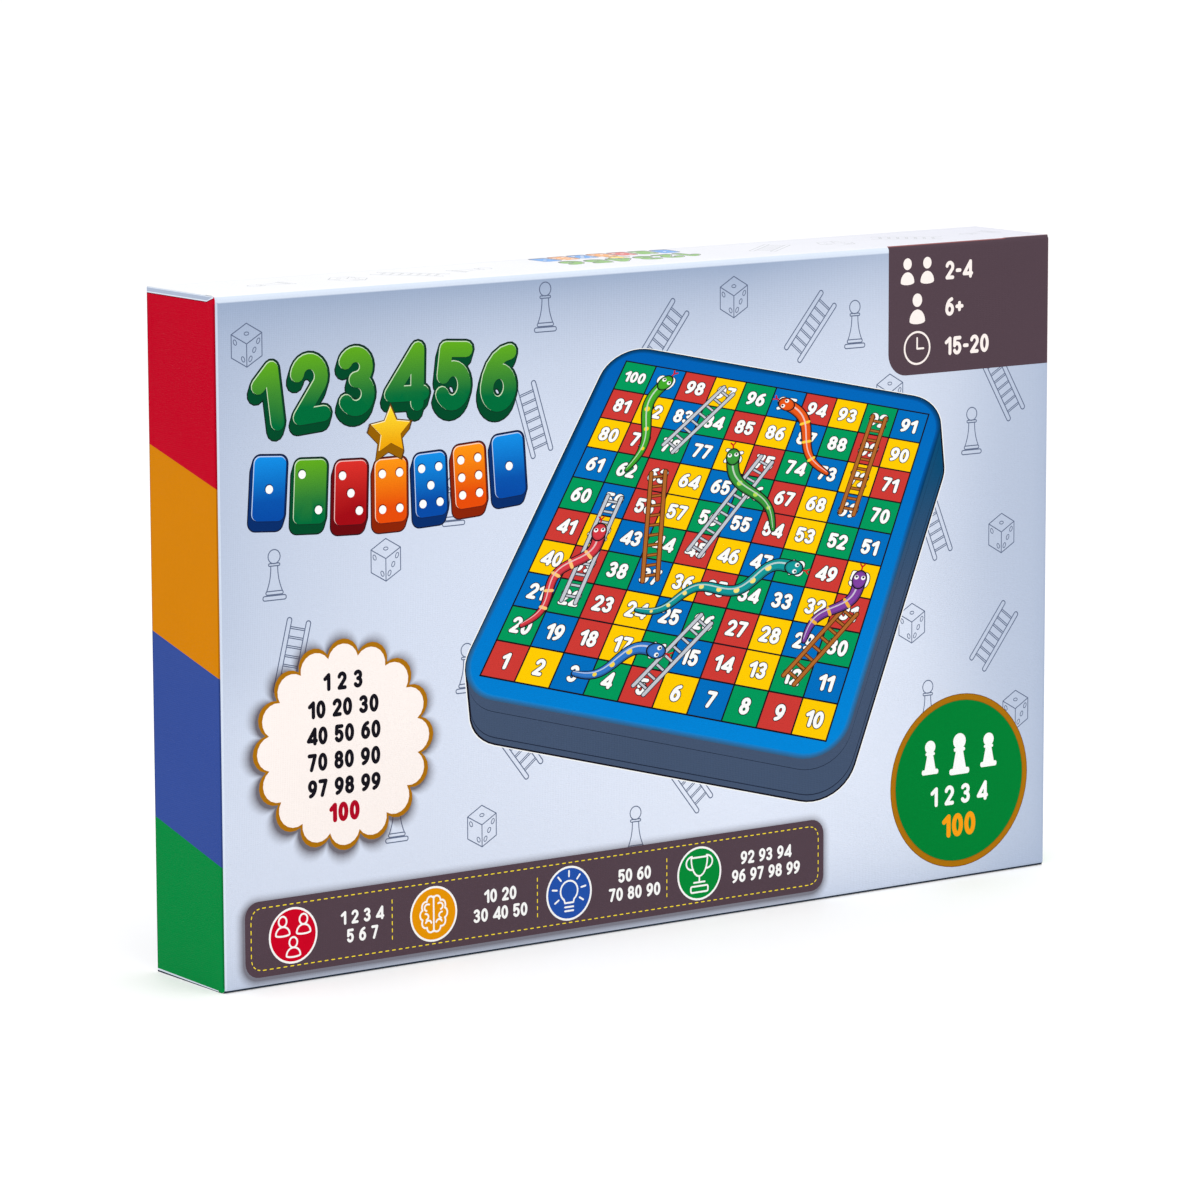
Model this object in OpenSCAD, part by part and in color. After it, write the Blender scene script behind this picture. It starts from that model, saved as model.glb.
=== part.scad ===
// Boxed snakes and ladders game, standing on the long edge of its carton.
// The carton opens like a book about its front right edge. Inside, a foam insert
// holds the moulded playing board, four pawns, a die and the folded rules.
// +X runs along the width, +Y to the back, +Z up. The origin is the middle of the
// closed carton's footprint.

/* [Carton] */
// Thickness of the printed board that the carton is folded from
card_t = 1.5; // [1:0.1:2]
// Gap between the cover's walls and the tray inside them
cover_gap = 0.4; // [0.3:0.1:0.8]
// Gap between the cover's front panel and what stands behind it
face_gap = 1; // [0.8:0.1:2]
// Gap across the hinge fold, between the cover and the spine
fold_gap = 0.2; // [0.1:0.05:0.4]
// Reach of the hinge tape on each side of the fold
tape_w = 18; // [10:1:30]
// Thickness of the hinge tape
tape_t = 0.4; // [0.2:0.1:0.6]

/* [Foam insert] */
// Thickness of the plain foam layer behind the board
back_layer_t = 9; // [4:0.5:15]
// Width of foam left around the wells along the insert's edges
foam_border = 5.8; // [3:0.1:12]
// Width of foam between the board's well and the small wells
divider_w = 7.5; // [5:0.5:15]
// Width of foam on each side of the leaflet's well
leaflet_side_w = 11; // [10:0.5:20]
// Depth of the front layer in front of the largest small piece
front_spare = 1.5; // [0.5:0.5:4]
// Gap between the foam and the tray that it is glued into
foam_gap = 0.3; // [0.2:0.1:0.5]
// Gap around each piece in its well
well_gap = 0.5; // [0.3:0.1:0.8]
// Radius of the half-round finger notches beside the board's well
notch_r = 12; // [8:1:13]
// Distance of each finger notch from the middle of the board's side
notch_shift = 75; // [65:1:80]
// Radius of the finger notch beside the leaflet's well
leaflet_notch_r = 10; // [8:1:10]
// Height of the finger slots that run across the small wells
slot_h = 12; // [8:1:15]
// Reach of those slots beyond the pieces at their ends
slot_reach = 9; // [6:1:11]

/* [Playing board] */
// Side of one square of the playing face
cell = 21; // [18:0.5:26]
// Number of squares along each side
cells = 10; // [9:1:12]
// Width of the plain rim around the squares
rim_w = 13; // [8:0.5:20]
// Thickness of the whole board, feet included
board_h = 34; // [26:1:44]
// Radius of the board's corners in plan
corner_r = 24; // [14:1:30]
// Radius of the rounded edge of the rim
edge_r = 4; // [2:0.5:5]
// Thickness of the moulded side wall
wall_t = 2.4; // [1.6:0.2:3]
// Thickness of the moulded face under the printed sheet
face_t = 2.6; // [2:0.2:3.4]
// Depth of the groove that runs round the side under the rim
groove_depth = 0.7; // [0.3:0.1:1]
// Height of that groove
groove_h = 1.6; // [0.8:0.2:2.4]
// Distance of that groove below the rim's rounded edge
groove_drop = 2; // [1:0.5:3]
// Thickness of the printed playing sheet
sheet_t = 0.5; // [0.3:0.1:0.8]
// Width of the sheet's printed border outside the squares
sheet_border = 1.2; // [0.6:0.2:2]
// Corner radius of the playing sheet
sheet_r = 2; // [1:0.5:3]
// Thickness of the stiffening ribs under the face
rib_t = 1.6; // [1.2:0.2:2]
// Depth of those ribs
rib_h = 9; // [6:1:11]
// Number of ribs each way
ribs = 5; // [3:2:7]

/* [Base cover of the board] */
// Height of the base cover's side wall, from its underside to the seam
base_h = 6; // [5:0.5:8]
// Thickness of the base cover's floor
floor_t = 2.4; // [2:0.2:3]
// Height of the lip that locates the cover in the shell
lip_h = 3; // [2:0.5:4]
// Thickness of that lip
lip_t = 1.6; // [1.2:0.2:2]
// Gap between the lip and the shell's wall
lip_gap = 0.2; // [0.1:0.05:0.3]
// Chamfer along the seam
seam_chamfer = 0.6; // [0.3:0.1:0.8]
// Radius of a rubber foot
foot_r = 6; // [4:0.5:8]
// Height of a rubber foot below the base cover
foot_h = 1.5; // [1:0.25:2]
// Distance of a foot's centre from the board's sides
foot_inset = 34; // [28:1:40]

/* [Board screws] */
// Radius of a screw's shank
screw_r = 1.4; // [1.2:0.1:1.7]
// Length of a screw under its head
screw_l = 11; // [8:1:14]
// Radius of a screw's head
head_r = 2.8; // [2.4:0.1:3]
// Height of a screw's head
head_h = 1.2; // [0.8:0.1:1.3]
// Radius of a screw boss
boss_r = 4; // [3.4:0.2:5]
// Distance of the screws from the board's sides
screw_inset = 17; // [16:1:20]
// Gap between a screw and the wall of its hole
screw_gap = 0.05; // [0.02:0.01:0.1]
// Gap between a screw's head and its recess
head_gap = 0.3; // [0.2:0.1:0.4]
// Width of one arm of the cross slot in a head
cross_w = 0.8; // [0.5:0.1:1]
// Depth of the cross slot
cross_depth = 0.6; // [0.4:0.1:0.7]

/* [Pawns] */
// Height of a pawn
pawn_h = 28; // [24:1:36]
// Radius of a pawn's foot
pawn_r = 8; // [6.5:0.5:10]
// Radius of a pawn's head
pawn_head_r = 4.8; // [4:0.2:5.4]
// Radius of a pawn's neck
neck_r = 2.6; // [2:0.2:3.2]
// Radius of the collar under the head
collar_r = 4.2; // [3.6:0.2:5]
// Thickness of that collar
collar_t = 1.4; // [1:0.2:2]
// Thickness of the rounded foot
pawn_foot_t = 3; // [2:0.5:4]
// Distance between the middles of neighbouring pawns
pawn_pitch = 26; // [22:1:30]

/* [Die] */
// Side of the die
die_w = 16; // [13:0.5:20]
// Radius of a pip
pip_r = 1.5; // [1:0.1:1.7]
// Depth of a pip
pip_depth = 0.6; // [0.3:0.1:0.8]
// Distance of the outer pips from the middle of a face
pip_pitch = 4.2; // [3.6:0.2:4.4]

/* [Rules leaflet] */
// Width of the folded leaflet
leaflet_w = 105; // [92:1:148]
// Height of the folded leaflet
leaflet_h = 148; // [105:1:180]
// Thickness of each of its leaves
leaf_t = 0.5; // [0.3:0.1:0.7]
// Gap between the leaves
leaf_gap = 0.3; // [0.2:0.1:0.5]

/* [Hidden] */
$fn = 64;
// Overrun of every cut past the face that it opens
cut = 1;
// Steps along each curved stretch of a pawn's outline
curve_steps = 12;
// Steps along the rim's rounded edge
edge_steps = 8;

// Outer size of the board and of its well
board_w = cells * cell + 2 * rim_w;
board_well_w = board_w + 2 * well_gap;

// Distance from the carton's outside to the wells, on the sides with two walls and at the spine
wall_stack = 2 * card_t + cover_gap + foam_gap + foam_border;
spine_stack = card_t + tape_t + foam_gap + foam_border;
small_w = leaflet_w + 2 * (well_gap + leaflet_side_w);

// Outer size of the closed carton, which its contents fill
carton_w = wall_stack + board_well_w + divider_w + small_w + spine_stack;
carton_h = 2 * wall_stack + board_well_w;
carton_d = 2 * card_t + face_gap + board_h + back_layer_t;

// Planes of the carton, from the outside in
left_x = -carton_w / 2;
right_x = carton_w / 2;
front_y = -carton_d / 2;
back_y = carton_d / 2;
cover_in_y = front_y + card_t;
back_in_y = back_y - card_t;
spine_in_x = right_x - card_t;
tray_x = left_x + card_t + cover_gap;
tray_z0 = card_t + cover_gap;
tray_z1 = carton_h - tray_z0;
tray_y = cover_in_y + face_gap;
tray_in_x = tray_x + card_t;
tray_in_z0 = tray_z0 + card_t;
tray_in_z1 = tray_z1 - card_t;

// Edges of the foam, and where the board stands in it
foam_x0 = tray_in_x + foam_gap;
foam_x1 = spine_in_x - tape_t - foam_gap;
foam_z0 = tray_in_z0 + foam_gap;
foam_z1 = tray_in_z1 - foam_gap;
board_x = foam_x0 + foam_border + well_gap + board_w / 2;
board_z = carton_h / 2;
board_well_x1 = board_x + board_well_w / 2;

// Depth of the foam layers, from the front
front_layer_t = max(2 * pawn_r, die_w) + well_gap + front_spare;
layer2_y = tray_y + front_layer_t;
layer3_y = tray_y + board_h;

// Right hand wells from the top down: the leaflet, the pawns and the die
small_x = board_well_x1 + divider_w + small_w / 2;
small_z0 = board_z - board_well_w / 2;
row_gap = (board_well_w - leaflet_h - pawn_h - die_w - 6 * well_gap) / 3;
die_z = small_z0 + row_gap + well_gap + die_w / 2;
pawn_z = die_z + die_w / 2 + 2 * well_gap + row_gap + pawn_h / 2;
leaflet_z = pawn_z + pawn_h / 2 + 2 * well_gap + row_gap + leaflet_h / 2;
pawn_y = layer2_y - well_gap - pawn_r;
die_y = layer2_y - well_gap - die_w / 2;
leaflet_t = 2 * leaf_t + leaf_gap;

// Heights of the board's parts above the underside of its feet, with its face up
seam_z = foot_h + base_h;
face_z = board_h - face_t;
sheet_w = cells * cell + 2 * sheet_border;
flat_c = board_w / 2 - corner_r;
floor_z = foot_h + floor_t;
screw_at = board_w / 2 - screw_inset;
foot_at = board_w / 2 - foot_inset;
pilot_r = screw_r + screw_gap;
recess_h = head_h + head_gap;
// Length of a screw's point as a share of its shank
tip_share = 0.2;
// Radius of that point's end as a share of the shank's
tip_r_share = 0.25;
// Depth of a screw's hole beyond its tip as a share of its shank
pilot_spare_share = 0.15;

card_colour = "#c9d6e8";
white_card = "#f1f2f0";
foam_colour = "#3a3d42";

module span(x0, x1, y0, y1, z0, z1) {
    translate([x0, y0, z0]) cube([x1 - x0, y1 - y0, z1 - z0]);
}

module rounded_square(side, r) {
    c = side / 2 - r;
    square([side, 2 * c], center = true);
    square([2 * c, side], center = true);
    for (sx = [-1, 1], sy = [-1, 1]) translate([sx * c, sy * c]) circle(r);
}

// Sweeps a side profile around the board's plan. The profile's x is the distance
// from the middle of a corner's arc, and its y is the height.
module around_board() {
    for (q = [0:3]) rotate(90 * q) translate([flat_c, flat_c, 0]) {
        rotate_extrude(angle = 90) children();
        rotate([90, 0, 0]) linear_extrude(2 * flat_c) children();
    }
}

// Stands a board that was built face up in its place, facing the front
module stand_board() {
    translate([board_x, tray_y + board_h, board_z]) rotate([90, 0, 0]) children();
}

module at_screws() {
    for (sx = [-1, 1], sy = [-1, 0, 1]) translate([sx * screw_at, sy * screw_at, 0]) children();
}

// Cover: the front panel with its three walls, hinged to the spine

module cover_front() {
    color(card_colour) span(left_x, right_x, front_y, cover_in_y, 0, carton_h);
}

module cover_left_wall() {
    color("#b70823") span(left_x, left_x + card_t, cover_in_y, back_y, card_t, carton_h - card_t);
}

module cover_top_wall() {
    color(white_card) span(left_x, right_x, cover_in_y, back_y, carton_h - card_t, carton_h);
}

module cover_bottom_wall() {
    color(card_colour) span(left_x, right_x, cover_in_y, back_y, 0, card_t);
}

module cover_hinge_tape() {
    color(white_card)
        span(spine_in_x - fold_gap - tape_w, spine_in_x - fold_gap,
             cover_in_y, cover_in_y + tape_t, tray_z0, tray_z1);
}

// Tray: the back panel and spine with the low walls that the cover closes over

module back_panel() {
    color(card_colour) span(tray_x, right_x, back_in_y, back_y, tray_z0, tray_z1);
}

module spine_panel() {
    color(card_colour)
        span(spine_in_x, right_x, cover_in_y + fold_gap, back_in_y, tray_z0, tray_z1);
}

module spine_hinge_tape() {
    tape_y = cover_in_y + tape_t + fold_gap;
    color(white_card)
        span(spine_in_x - tape_t, spine_in_x, tape_y, tape_y + tape_w, tray_in_z0, tray_in_z1);
}

module tray_left_wall() {
    color(white_card) span(tray_x, tray_in_x, tray_y, back_in_y, tray_z0, tray_z1);
}

module tray_top_wall() {
    color(white_card) span(tray_in_x, spine_in_x, tray_y, back_in_y, tray_in_z1, tray_z1);
}

module tray_bottom_wall() {
    color(white_card) span(tray_in_x, spine_in_x, tray_y, back_in_y, tray_z0, tray_in_z0);
}

// Foam insert: two cut layers glued on a plain one

module foam_layer(y0, y1) {
    span(foam_x0, foam_x1, y0, y1, foam_z0, foam_z1);
}

// A cut through a layer, drawn in the front view: x to the right, y up
module foam_cut(y0, y1) {
    translate([0, y1 + cut, 0]) rotate([90, 0, 0]) linear_extrude(y1 - y0 + 2 * cut) children();
}

module board_well_shape() {
    translate([board_x, board_z]) rounded_square(board_well_w, corner_r + well_gap);
    for (s = [-1, 1]) translate([board_well_x1, board_z + s * notch_shift]) circle(notch_r);
}

module small_wells_shape() {
    translate([small_x, leaflet_z]) {
        square([leaflet_w + 2 * well_gap, leaflet_h + 2 * well_gap], center = true);
        translate([leaflet_w / 2 + well_gap, 0]) circle(leaflet_notch_r);
    }
    for (i = [0:3]) translate([pawn_x(i), pawn_z])
        square([2 * (pawn_r + well_gap), pawn_h + 2 * well_gap], center = true);
    translate([small_x, pawn_z])
        square([3 * pawn_pitch + 2 * pawn_r + 2 * slot_reach, slot_h], center = true);
    translate([small_x, die_z]) {
        square(die_w + 2 * well_gap, center = true);
        square([die_w + 2 * slot_reach, slot_h], center = true);
    }
}

module foam_front_layer() {
    color(foam_colour) difference() {
        foam_layer(tray_y, layer2_y);
        foam_cut(tray_y, layer2_y) {
            board_well_shape();
            small_wells_shape();
        }
    }
}

module foam_middle_layer() {
    color(foam_colour) difference() {
        foam_layer(layer2_y, layer3_y);
        foam_cut(layer2_y, layer3_y) board_well_shape();
    }
}

module foam_back_layer() {
    color(foam_colour) foam_layer(layer3_y, back_in_y);
}

// Playing board

// Section of the shell's wall, from the seam up to the flat of the face
module shell_profile() {
    round_z = board_h - edge_r;
    groove_z = round_z - groove_drop;
    polygon(concat(
        [[corner_r - wall_t, seam_z], [corner_r - seam_chamfer, seam_z],
         [corner_r, seam_z + seam_chamfer],
         [corner_r, groove_z - groove_h], [corner_r - groove_depth, groove_z - groove_h / 2],
         [corner_r, groove_z]],
        [for (i = [0:edge_steps]) let (a = 90 * i / edge_steps)
            [corner_r - edge_r + edge_r * cos(a), round_z + edge_r * sin(a)]],
        [[corner_r - edge_r, face_z], [corner_r - wall_t, face_z]]
    ));
}

module board_shell() {
    inner_w = board_w - 2 * wall_t;
    pilot_l = screw_l * (1 + pilot_spare_share);
    screw_z = foot_h + recess_h;
    color("#3d4b66") stand_board() {
        around_board() shell_profile();
        difference() {
            translate([0, 0, face_z]) linear_extrude(face_t)
                rounded_square(board_w - 2 * edge_r, corner_r - edge_r);
            translate([0, 0, board_h - sheet_t]) linear_extrude(sheet_t + cut)
                rounded_square(sheet_w, sheet_r);
        }
        difference() {
            union() {
                for (i = [1:ribs], turn = [0, 90])
                    rotate(turn)
                        translate([0, inner_w * (i / (ribs + 1) - 1 / 2), face_z - rib_h / 2])
                            cube([inner_w, rib_t, rib_h], center = true);
                translate([0, 0, floor_z]) at_screws() cylinder(r = boss_r, h = face_z - floor_z);
            }
            translate([0, 0, screw_z - cut]) at_screws() cylinder(r = pilot_r, h = pilot_l + cut);
        }
    }
}

module board_base_cover() {
    lip_x = corner_r - wall_t - lip_gap;
    hole_r = screw_r + head_gap;
    color("#35415a") stand_board() {
        around_board() polygon([
            [corner_r - wall_t, foot_h], [corner_r - seam_chamfer, foot_h],
            [corner_r, foot_h + seam_chamfer],
            [corner_r, seam_z - seam_chamfer], [corner_r - seam_chamfer, seam_z],
            [corner_r - wall_t, seam_z]
        ]);
        around_board() polygon([
            [lip_x - lip_t, floor_z], [corner_r - wall_t, floor_z], [corner_r - wall_t, seam_z],
            [lip_x, seam_z], [lip_x, seam_z + lip_h], [lip_x - lip_t, seam_z + lip_h]
        ]);
        difference() {
            translate([0, 0, foot_h]) linear_extrude(floor_t)
                rounded_square(board_w - 2 * wall_t, corner_r - wall_t);
            translate([0, 0, foot_h - cut]) at_screws() {
                cylinder(r = hole_r, h = floor_t + 2 * cut);
                cylinder(r = head_r + head_gap, h = recess_h + cut);
            }
        }
    }
}

module playing_sheet() {
    color("#f2c40f") stand_board() translate([0, 0, board_h - sheet_t])
        linear_extrude(sheet_t) rounded_square(sheet_w, sheet_r);
}

module board_screws() {
    tip_l = screw_l * tip_share;
    color("#b9bcc0") stand_board() translate([0, 0, foot_h + recess_h]) at_screws() {
        difference() {
            translate([0, 0, -head_h]) cylinder(r = head_r, h = head_h);
            for (turn = [0, 90]) rotate(turn)
                translate([-head_r / 2, -cross_w / 2, -head_h - cut])
                    cube([head_r, cross_w, cut + cross_depth]);
        }
        cylinder(r = screw_r, h = screw_l - tip_l);
        translate([0, 0, screw_l - tip_l]) cylinder(r1 = screw_r, r2 = screw_r * tip_r_share, h = tip_l);
    }
}

module board_feet() {
    color("#1c1d20") stand_board()
        for (sx = [-1, 1], sy = [-1, 1]) translate([sx * foot_at, sy * foot_at, 0])
            cylinder(r = foot_r, h = foot_h);
}

// Pawns, die and rules

function pawn_x(i) = small_x + (i - 3 / 2) * pawn_pitch;

// Half outline of a pawn: a rounded foot, a hollow-sided skirt, a collar and a ball
function pawn_outline() = let (
    foot_round = pawn_foot_t / 2,
    head_z = pawn_h - pawn_head_r,
    join_a = -acos(neck_r / pawn_head_r),
    skirt_r = pawn_r - foot_round,
    collar_z = head_z + pawn_head_r * sin(join_a) - collar_t,
    skirt_h = collar_z - pawn_foot_t
) concat(
    [[0, 0]],
    [for (i = [0:curve_steps]) let (a = -90 + 180 * i / curve_steps)
        [skirt_r + foot_round * cos(a), foot_round + foot_round * sin(a)]],
    [for (i = [1:curve_steps]) let (u = i / curve_steps)
        [neck_r + (skirt_r - neck_r) * pow(1 - u, 2), pawn_foot_t + skirt_h * u]],
    [[collar_r, collar_z], [collar_r, collar_z + collar_t], [neck_r, collar_z + collar_t]],
    [for (i = [1:2 * curve_steps]) let (a = join_a + (90 - join_a) * i / (2 * curve_steps))
        [pawn_head_r * cos(a), head_z + pawn_head_r * sin(a)]]
);

module pawn(i, colour) {
    color(colour) translate([pawn_x(i), pawn_y, pawn_z - pawn_h / 2])
        rotate_extrude() polygon(pawn_outline());
}

module pawn_red() { pawn(0, "#c4161c"); }
module pawn_yellow() { pawn(1, "#f3c30c"); }
module pawn_green() { pawn(2, "#0b8f45"); }
module pawn_blue() { pawn(3, "#1463b4"); }

// Places of the pips on a face with that many, in steps of the pip pitch
function pip_places(n) = concat(
    n % 2 == 1 ? [[0, 0]] : [],
    n > 1 ? [[-1, -1], [1, 1]] : [],
    n > 3 ? [[-1, 1], [1, -1]] : [],
    n == 6 ? [[-1, 0], [1, 0]] : []
);

// The turn that brings each face of the die to the top: opposite faces add up to seven
function face_turn(n) = [[0, 0, 0], [90, 0, 0], [0, 90, 0], [0, -90, 0], [-90, 0, 0], [180, 0, 0]][n - 1];

module die() {
    dimple_r = (pip_r * pip_r + pip_depth * pip_depth) / (2 * pip_depth);
    // Radius of the ball that rounds the corners, as a share of the side
    ball_share = 0.76;
    color("#f4f3ee") translate([small_x, die_y, die_z]) difference() {
        intersection() {
            cube(die_w, center = true);
            sphere(r = ball_share * die_w);
        }
        for (n = [1:6]) rotate(face_turn(n)) for (p = pip_places(n))
            translate([p[0] * pip_pitch, p[1] * pip_pitch, die_w / 2 + dimple_r - pip_depth])
                sphere(r = dimple_r);
    }
}

module rules_leaflet() {
    color("#f7f7f4")
        translate([small_x - leaflet_w / 2, layer2_y - leaflet_t, leaflet_z - leaflet_h / 2])
            difference() {
                union() {
                    translate([leaflet_t / 2, 0, 0])
                        cube([leaflet_w - leaflet_t / 2, leaflet_t, leaflet_h]);
                    translate([leaflet_t / 2, leaflet_t / 2, 0]) cylinder(r = leaflet_t / 2, h = leaflet_h);
                }
                translate([leaflet_t / 2, leaf_t, -cut])
                    cube([leaflet_w, leaf_gap, leaflet_h + 2 * cut]);
            }
}

cover_front();
cover_left_wall();
cover_top_wall();
cover_bottom_wall();
cover_hinge_tape();
back_panel();
spine_panel();
spine_hinge_tape();
tray_left_wall();
tray_top_wall();
tray_bottom_wall();
foam_front_layer();
foam_middle_layer();
foam_back_layer();
board_shell();
board_base_cover();
playing_sheet();
board_screws();
board_feet();
pawn_red();
pawn_yellow();
pawn_green();
pawn_blue();
die();
rules_leaflet();
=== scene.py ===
import math

import bpy
import numpy as np
from mathutils import Matrix, Vector
from mathutils.geometry import delaunay_2d_cdt


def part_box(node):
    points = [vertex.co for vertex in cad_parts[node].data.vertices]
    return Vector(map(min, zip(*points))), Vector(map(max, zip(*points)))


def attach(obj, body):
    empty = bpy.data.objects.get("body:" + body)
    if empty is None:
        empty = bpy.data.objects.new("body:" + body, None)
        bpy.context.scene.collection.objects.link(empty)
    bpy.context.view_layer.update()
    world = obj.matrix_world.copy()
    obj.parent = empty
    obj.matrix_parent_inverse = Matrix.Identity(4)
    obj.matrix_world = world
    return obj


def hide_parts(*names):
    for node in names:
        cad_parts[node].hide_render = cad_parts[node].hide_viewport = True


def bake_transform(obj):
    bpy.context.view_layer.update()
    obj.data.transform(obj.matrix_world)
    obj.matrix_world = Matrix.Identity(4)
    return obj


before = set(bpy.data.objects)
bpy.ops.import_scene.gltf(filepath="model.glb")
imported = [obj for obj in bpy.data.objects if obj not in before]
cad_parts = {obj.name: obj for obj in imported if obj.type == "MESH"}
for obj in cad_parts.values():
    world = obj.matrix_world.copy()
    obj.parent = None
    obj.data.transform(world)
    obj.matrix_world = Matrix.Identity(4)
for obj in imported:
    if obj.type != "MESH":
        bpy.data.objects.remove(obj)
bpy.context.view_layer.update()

# A millimetre in metres. Sizes below are in millimetres, and the carton's come from the frame.
MM = 0.001


def node_box(node):
    low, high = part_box(node)
    return [v / MM for v in low], [v / MM for v in high]


(LEFT, FRONT, BOTTOM), (RIGHT, COVER_IN, TOP) = node_box("cover_front")
BACK = node_box("back_panel")[1][1]
TRAY_LEFT, _, TRAY_LOW = node_box("back_panel")[0]
TRAY_HIGH = node_box("back_panel")[1][2]
SPINE_FRONT = node_box("spine_panel")[0][1]
W = RIGHT - LEFT
H = TOP - BOTTOM
D = BACK - FRONT
CARD = COVER_IN - FRONT
PAPER = 0.1
CREASE_R = 1.8
# Where a flat sheet is cut across a crease, so that it can bend there
CREASE_CUTS = [CREASE_R * (i / 4) for i in range(-4, 5)]
# The end panel's corner at the front, and the pale strip along its top behind that corner
NOTCH = 6.2
LIP = 2.3

# Colours


def rgb(r, g, b):
    """A linear colour from the 0 to 255 values of a screen."""
    def line(v):
        v = v / 255
        return v / 12.92 if v <= 0.04045 else ((v + 0.055) / 1.055) ** 2.4
    return (line(r), line(g), line(b))


def mix(a, b, t):
    t = min(max(t, 0), 1)
    return tuple(p + (q - p) * t for p, q in zip(a, b))


SKY = rgb(214, 223, 241)
SKY_DEEP = rgb(156, 172, 199)
SKY_PALE = rgb(228, 235, 250)
PAPER_WHITE = rgb(244, 244, 242)
LINE_GREY = rgb(98, 110, 136)
INK = rgb(22, 20, 28)
SLATE_BROWN = rgb(84, 67, 76)
# The top flaps' ground, whitened as painted top light.
FLAP_LIT_WHITE = rgb(246, 247, 250)
FLAP_LIT_BLUE = rgb(230, 231, 241)
BAND_SHADE = rgb(120, 0, 22)
# Painted shade along the creases.
CREASE_SHADE = rgb(34, 46, 62)
# Painted highlight along the creases and the strips' edges.
CREASE_HIGHLIGHT = rgb(230, 240, 254)
# Painted highlight on the dark label's creases.
HIGHLIGHT_BROWN = rgb(150, 92, 92)
STITCH = rgb(255, 226, 44)
WHITE = rgb(252, 252, 250)
CREAM = rgb(253, 243, 238)
GOLD = rgb(172, 112, 12)
GOLD_DARK = rgb(124, 78, 14)
SHADOW = rgb(74, 60, 66)
BAND_RED = rgb(202, 0, 36)
BAND_ORANGE = rgb(222, 136, 0)
BAND_BLUE = rgb(56, 82, 160)
BAND_GREEN = rgb(0, 142, 66)
CELL_RED = rgb(204, 58, 52)
CELL_YELLOW = rgb(255, 203, 0)
CELL_BLUE = rgb(0, 110, 190)
CELL_GREEN = rgb(0, 152, 90)
RIM_BLUE = rgb(0, 96, 180)
RIM_LIGHT = rgb(0, 136, 218)
RIM_DARK = rgb(4, 58, 98)
RIM_SOFT = rgb(52, 96, 134)
SIDE_SLATE = rgb(68, 84, 110)
SIDE_DEEP = rgb(36, 46, 66)
TEAL = rgb(8, 74, 114)

# Outlines


def signed_area(points):
    total = 0
    for (x0, y0), (x1, y1) in zip(points, points[1:] + points[:1]):
        total += x0 * y1 - x1 * y0
    return total / 2


def arc(cx, cy, rx, ry, start, end, steps=None):
    """Points on an ellipse from one angle to another, in degrees."""
    steps = steps or max(4, int(abs(end - start) / 15))
    angles = [math.radians(start + (end - start) * i / steps) for i in range(steps + 1)]
    return [(cx + rx * math.cos(a), cy + ry * math.sin(a)) for a in angles]


def ellipse(cx, cy, rx, ry=None, steps=32):
    return arc(cx, cy, rx, ry or rx, 0, 360, steps)[:-1]


def rounded_box(x0, y0, x1, y1, r, steps=6):
    points = []
    corners = ((x1 - r, y1 - r, 0), (x0 + r, y1 - r, 90), (x0 + r, y0 + r, 180),
               (x1 - r, y0 + r, 270))
    for cx, cy, turn in corners:
        points += arc(cx, cy, r, r, turn, turn + 90, steps)
    return points


def closed(points):
    return points + points[:1]


def stroke(points, width, cap=6):
    """The outline of a smooth line of even width with round ends."""
    return tapered(points, [width / 2] * len(points), cap)


def tapered(points, radii, cap=6):
    """The outline of a smooth line with a radius at each point and round ends."""
    line = np.array(points, float)
    along = np.gradient(line, axis=0)
    lengths = np.linalg.norm(along, axis=1)[:, None]
    if lengths.min() < 1e-9:
        raise ValueError("a line holds two equal points in a row")
    along /= lengths
    side = np.stack([-along[:, 1], along[:, 0]], 1) * np.array(radii)[:, None]
    left = [tuple(p) for p in line + side]
    right = [tuple(p) for p in line - side]

    def round_end(centre, radius, heading):
        start = math.degrees(math.atan2(heading[1], heading[0])) + 90
        return arc(*centre, radius, radius, start, start - 180, cap)[1:-1]

    end = round_end(line[-1], radii[-1], along[-1])
    begin = round_end(line[0], radii[0], -along[0])
    return left + end + right[::-1] + begin


def polyline(points, width, joined=False):
    """The outlines of a line with corners, one for each stretch."""
    ends = points[1:] + points[:1] if joined else points[1:]
    return [stroke([a, b], width) for a, b in zip(points, ends)]


def loop(cx, cy, rx, ry, width, steps=12):
    """A closed ring as two strokes."""
    return [stroke(arc(cx, cy, rx, ry, a, a + 180, steps), width) for a in (0, 180)]


def moved(points, dx=0, dy=0, scale=1, turn=0):
    c, s = math.cos(math.radians(turn)) * scale, math.sin(math.radians(turn)) * scale
    return [(dx + c * x - s * y, dy + s * x + c * y) for x, y in points]


# Printed sheets


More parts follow.
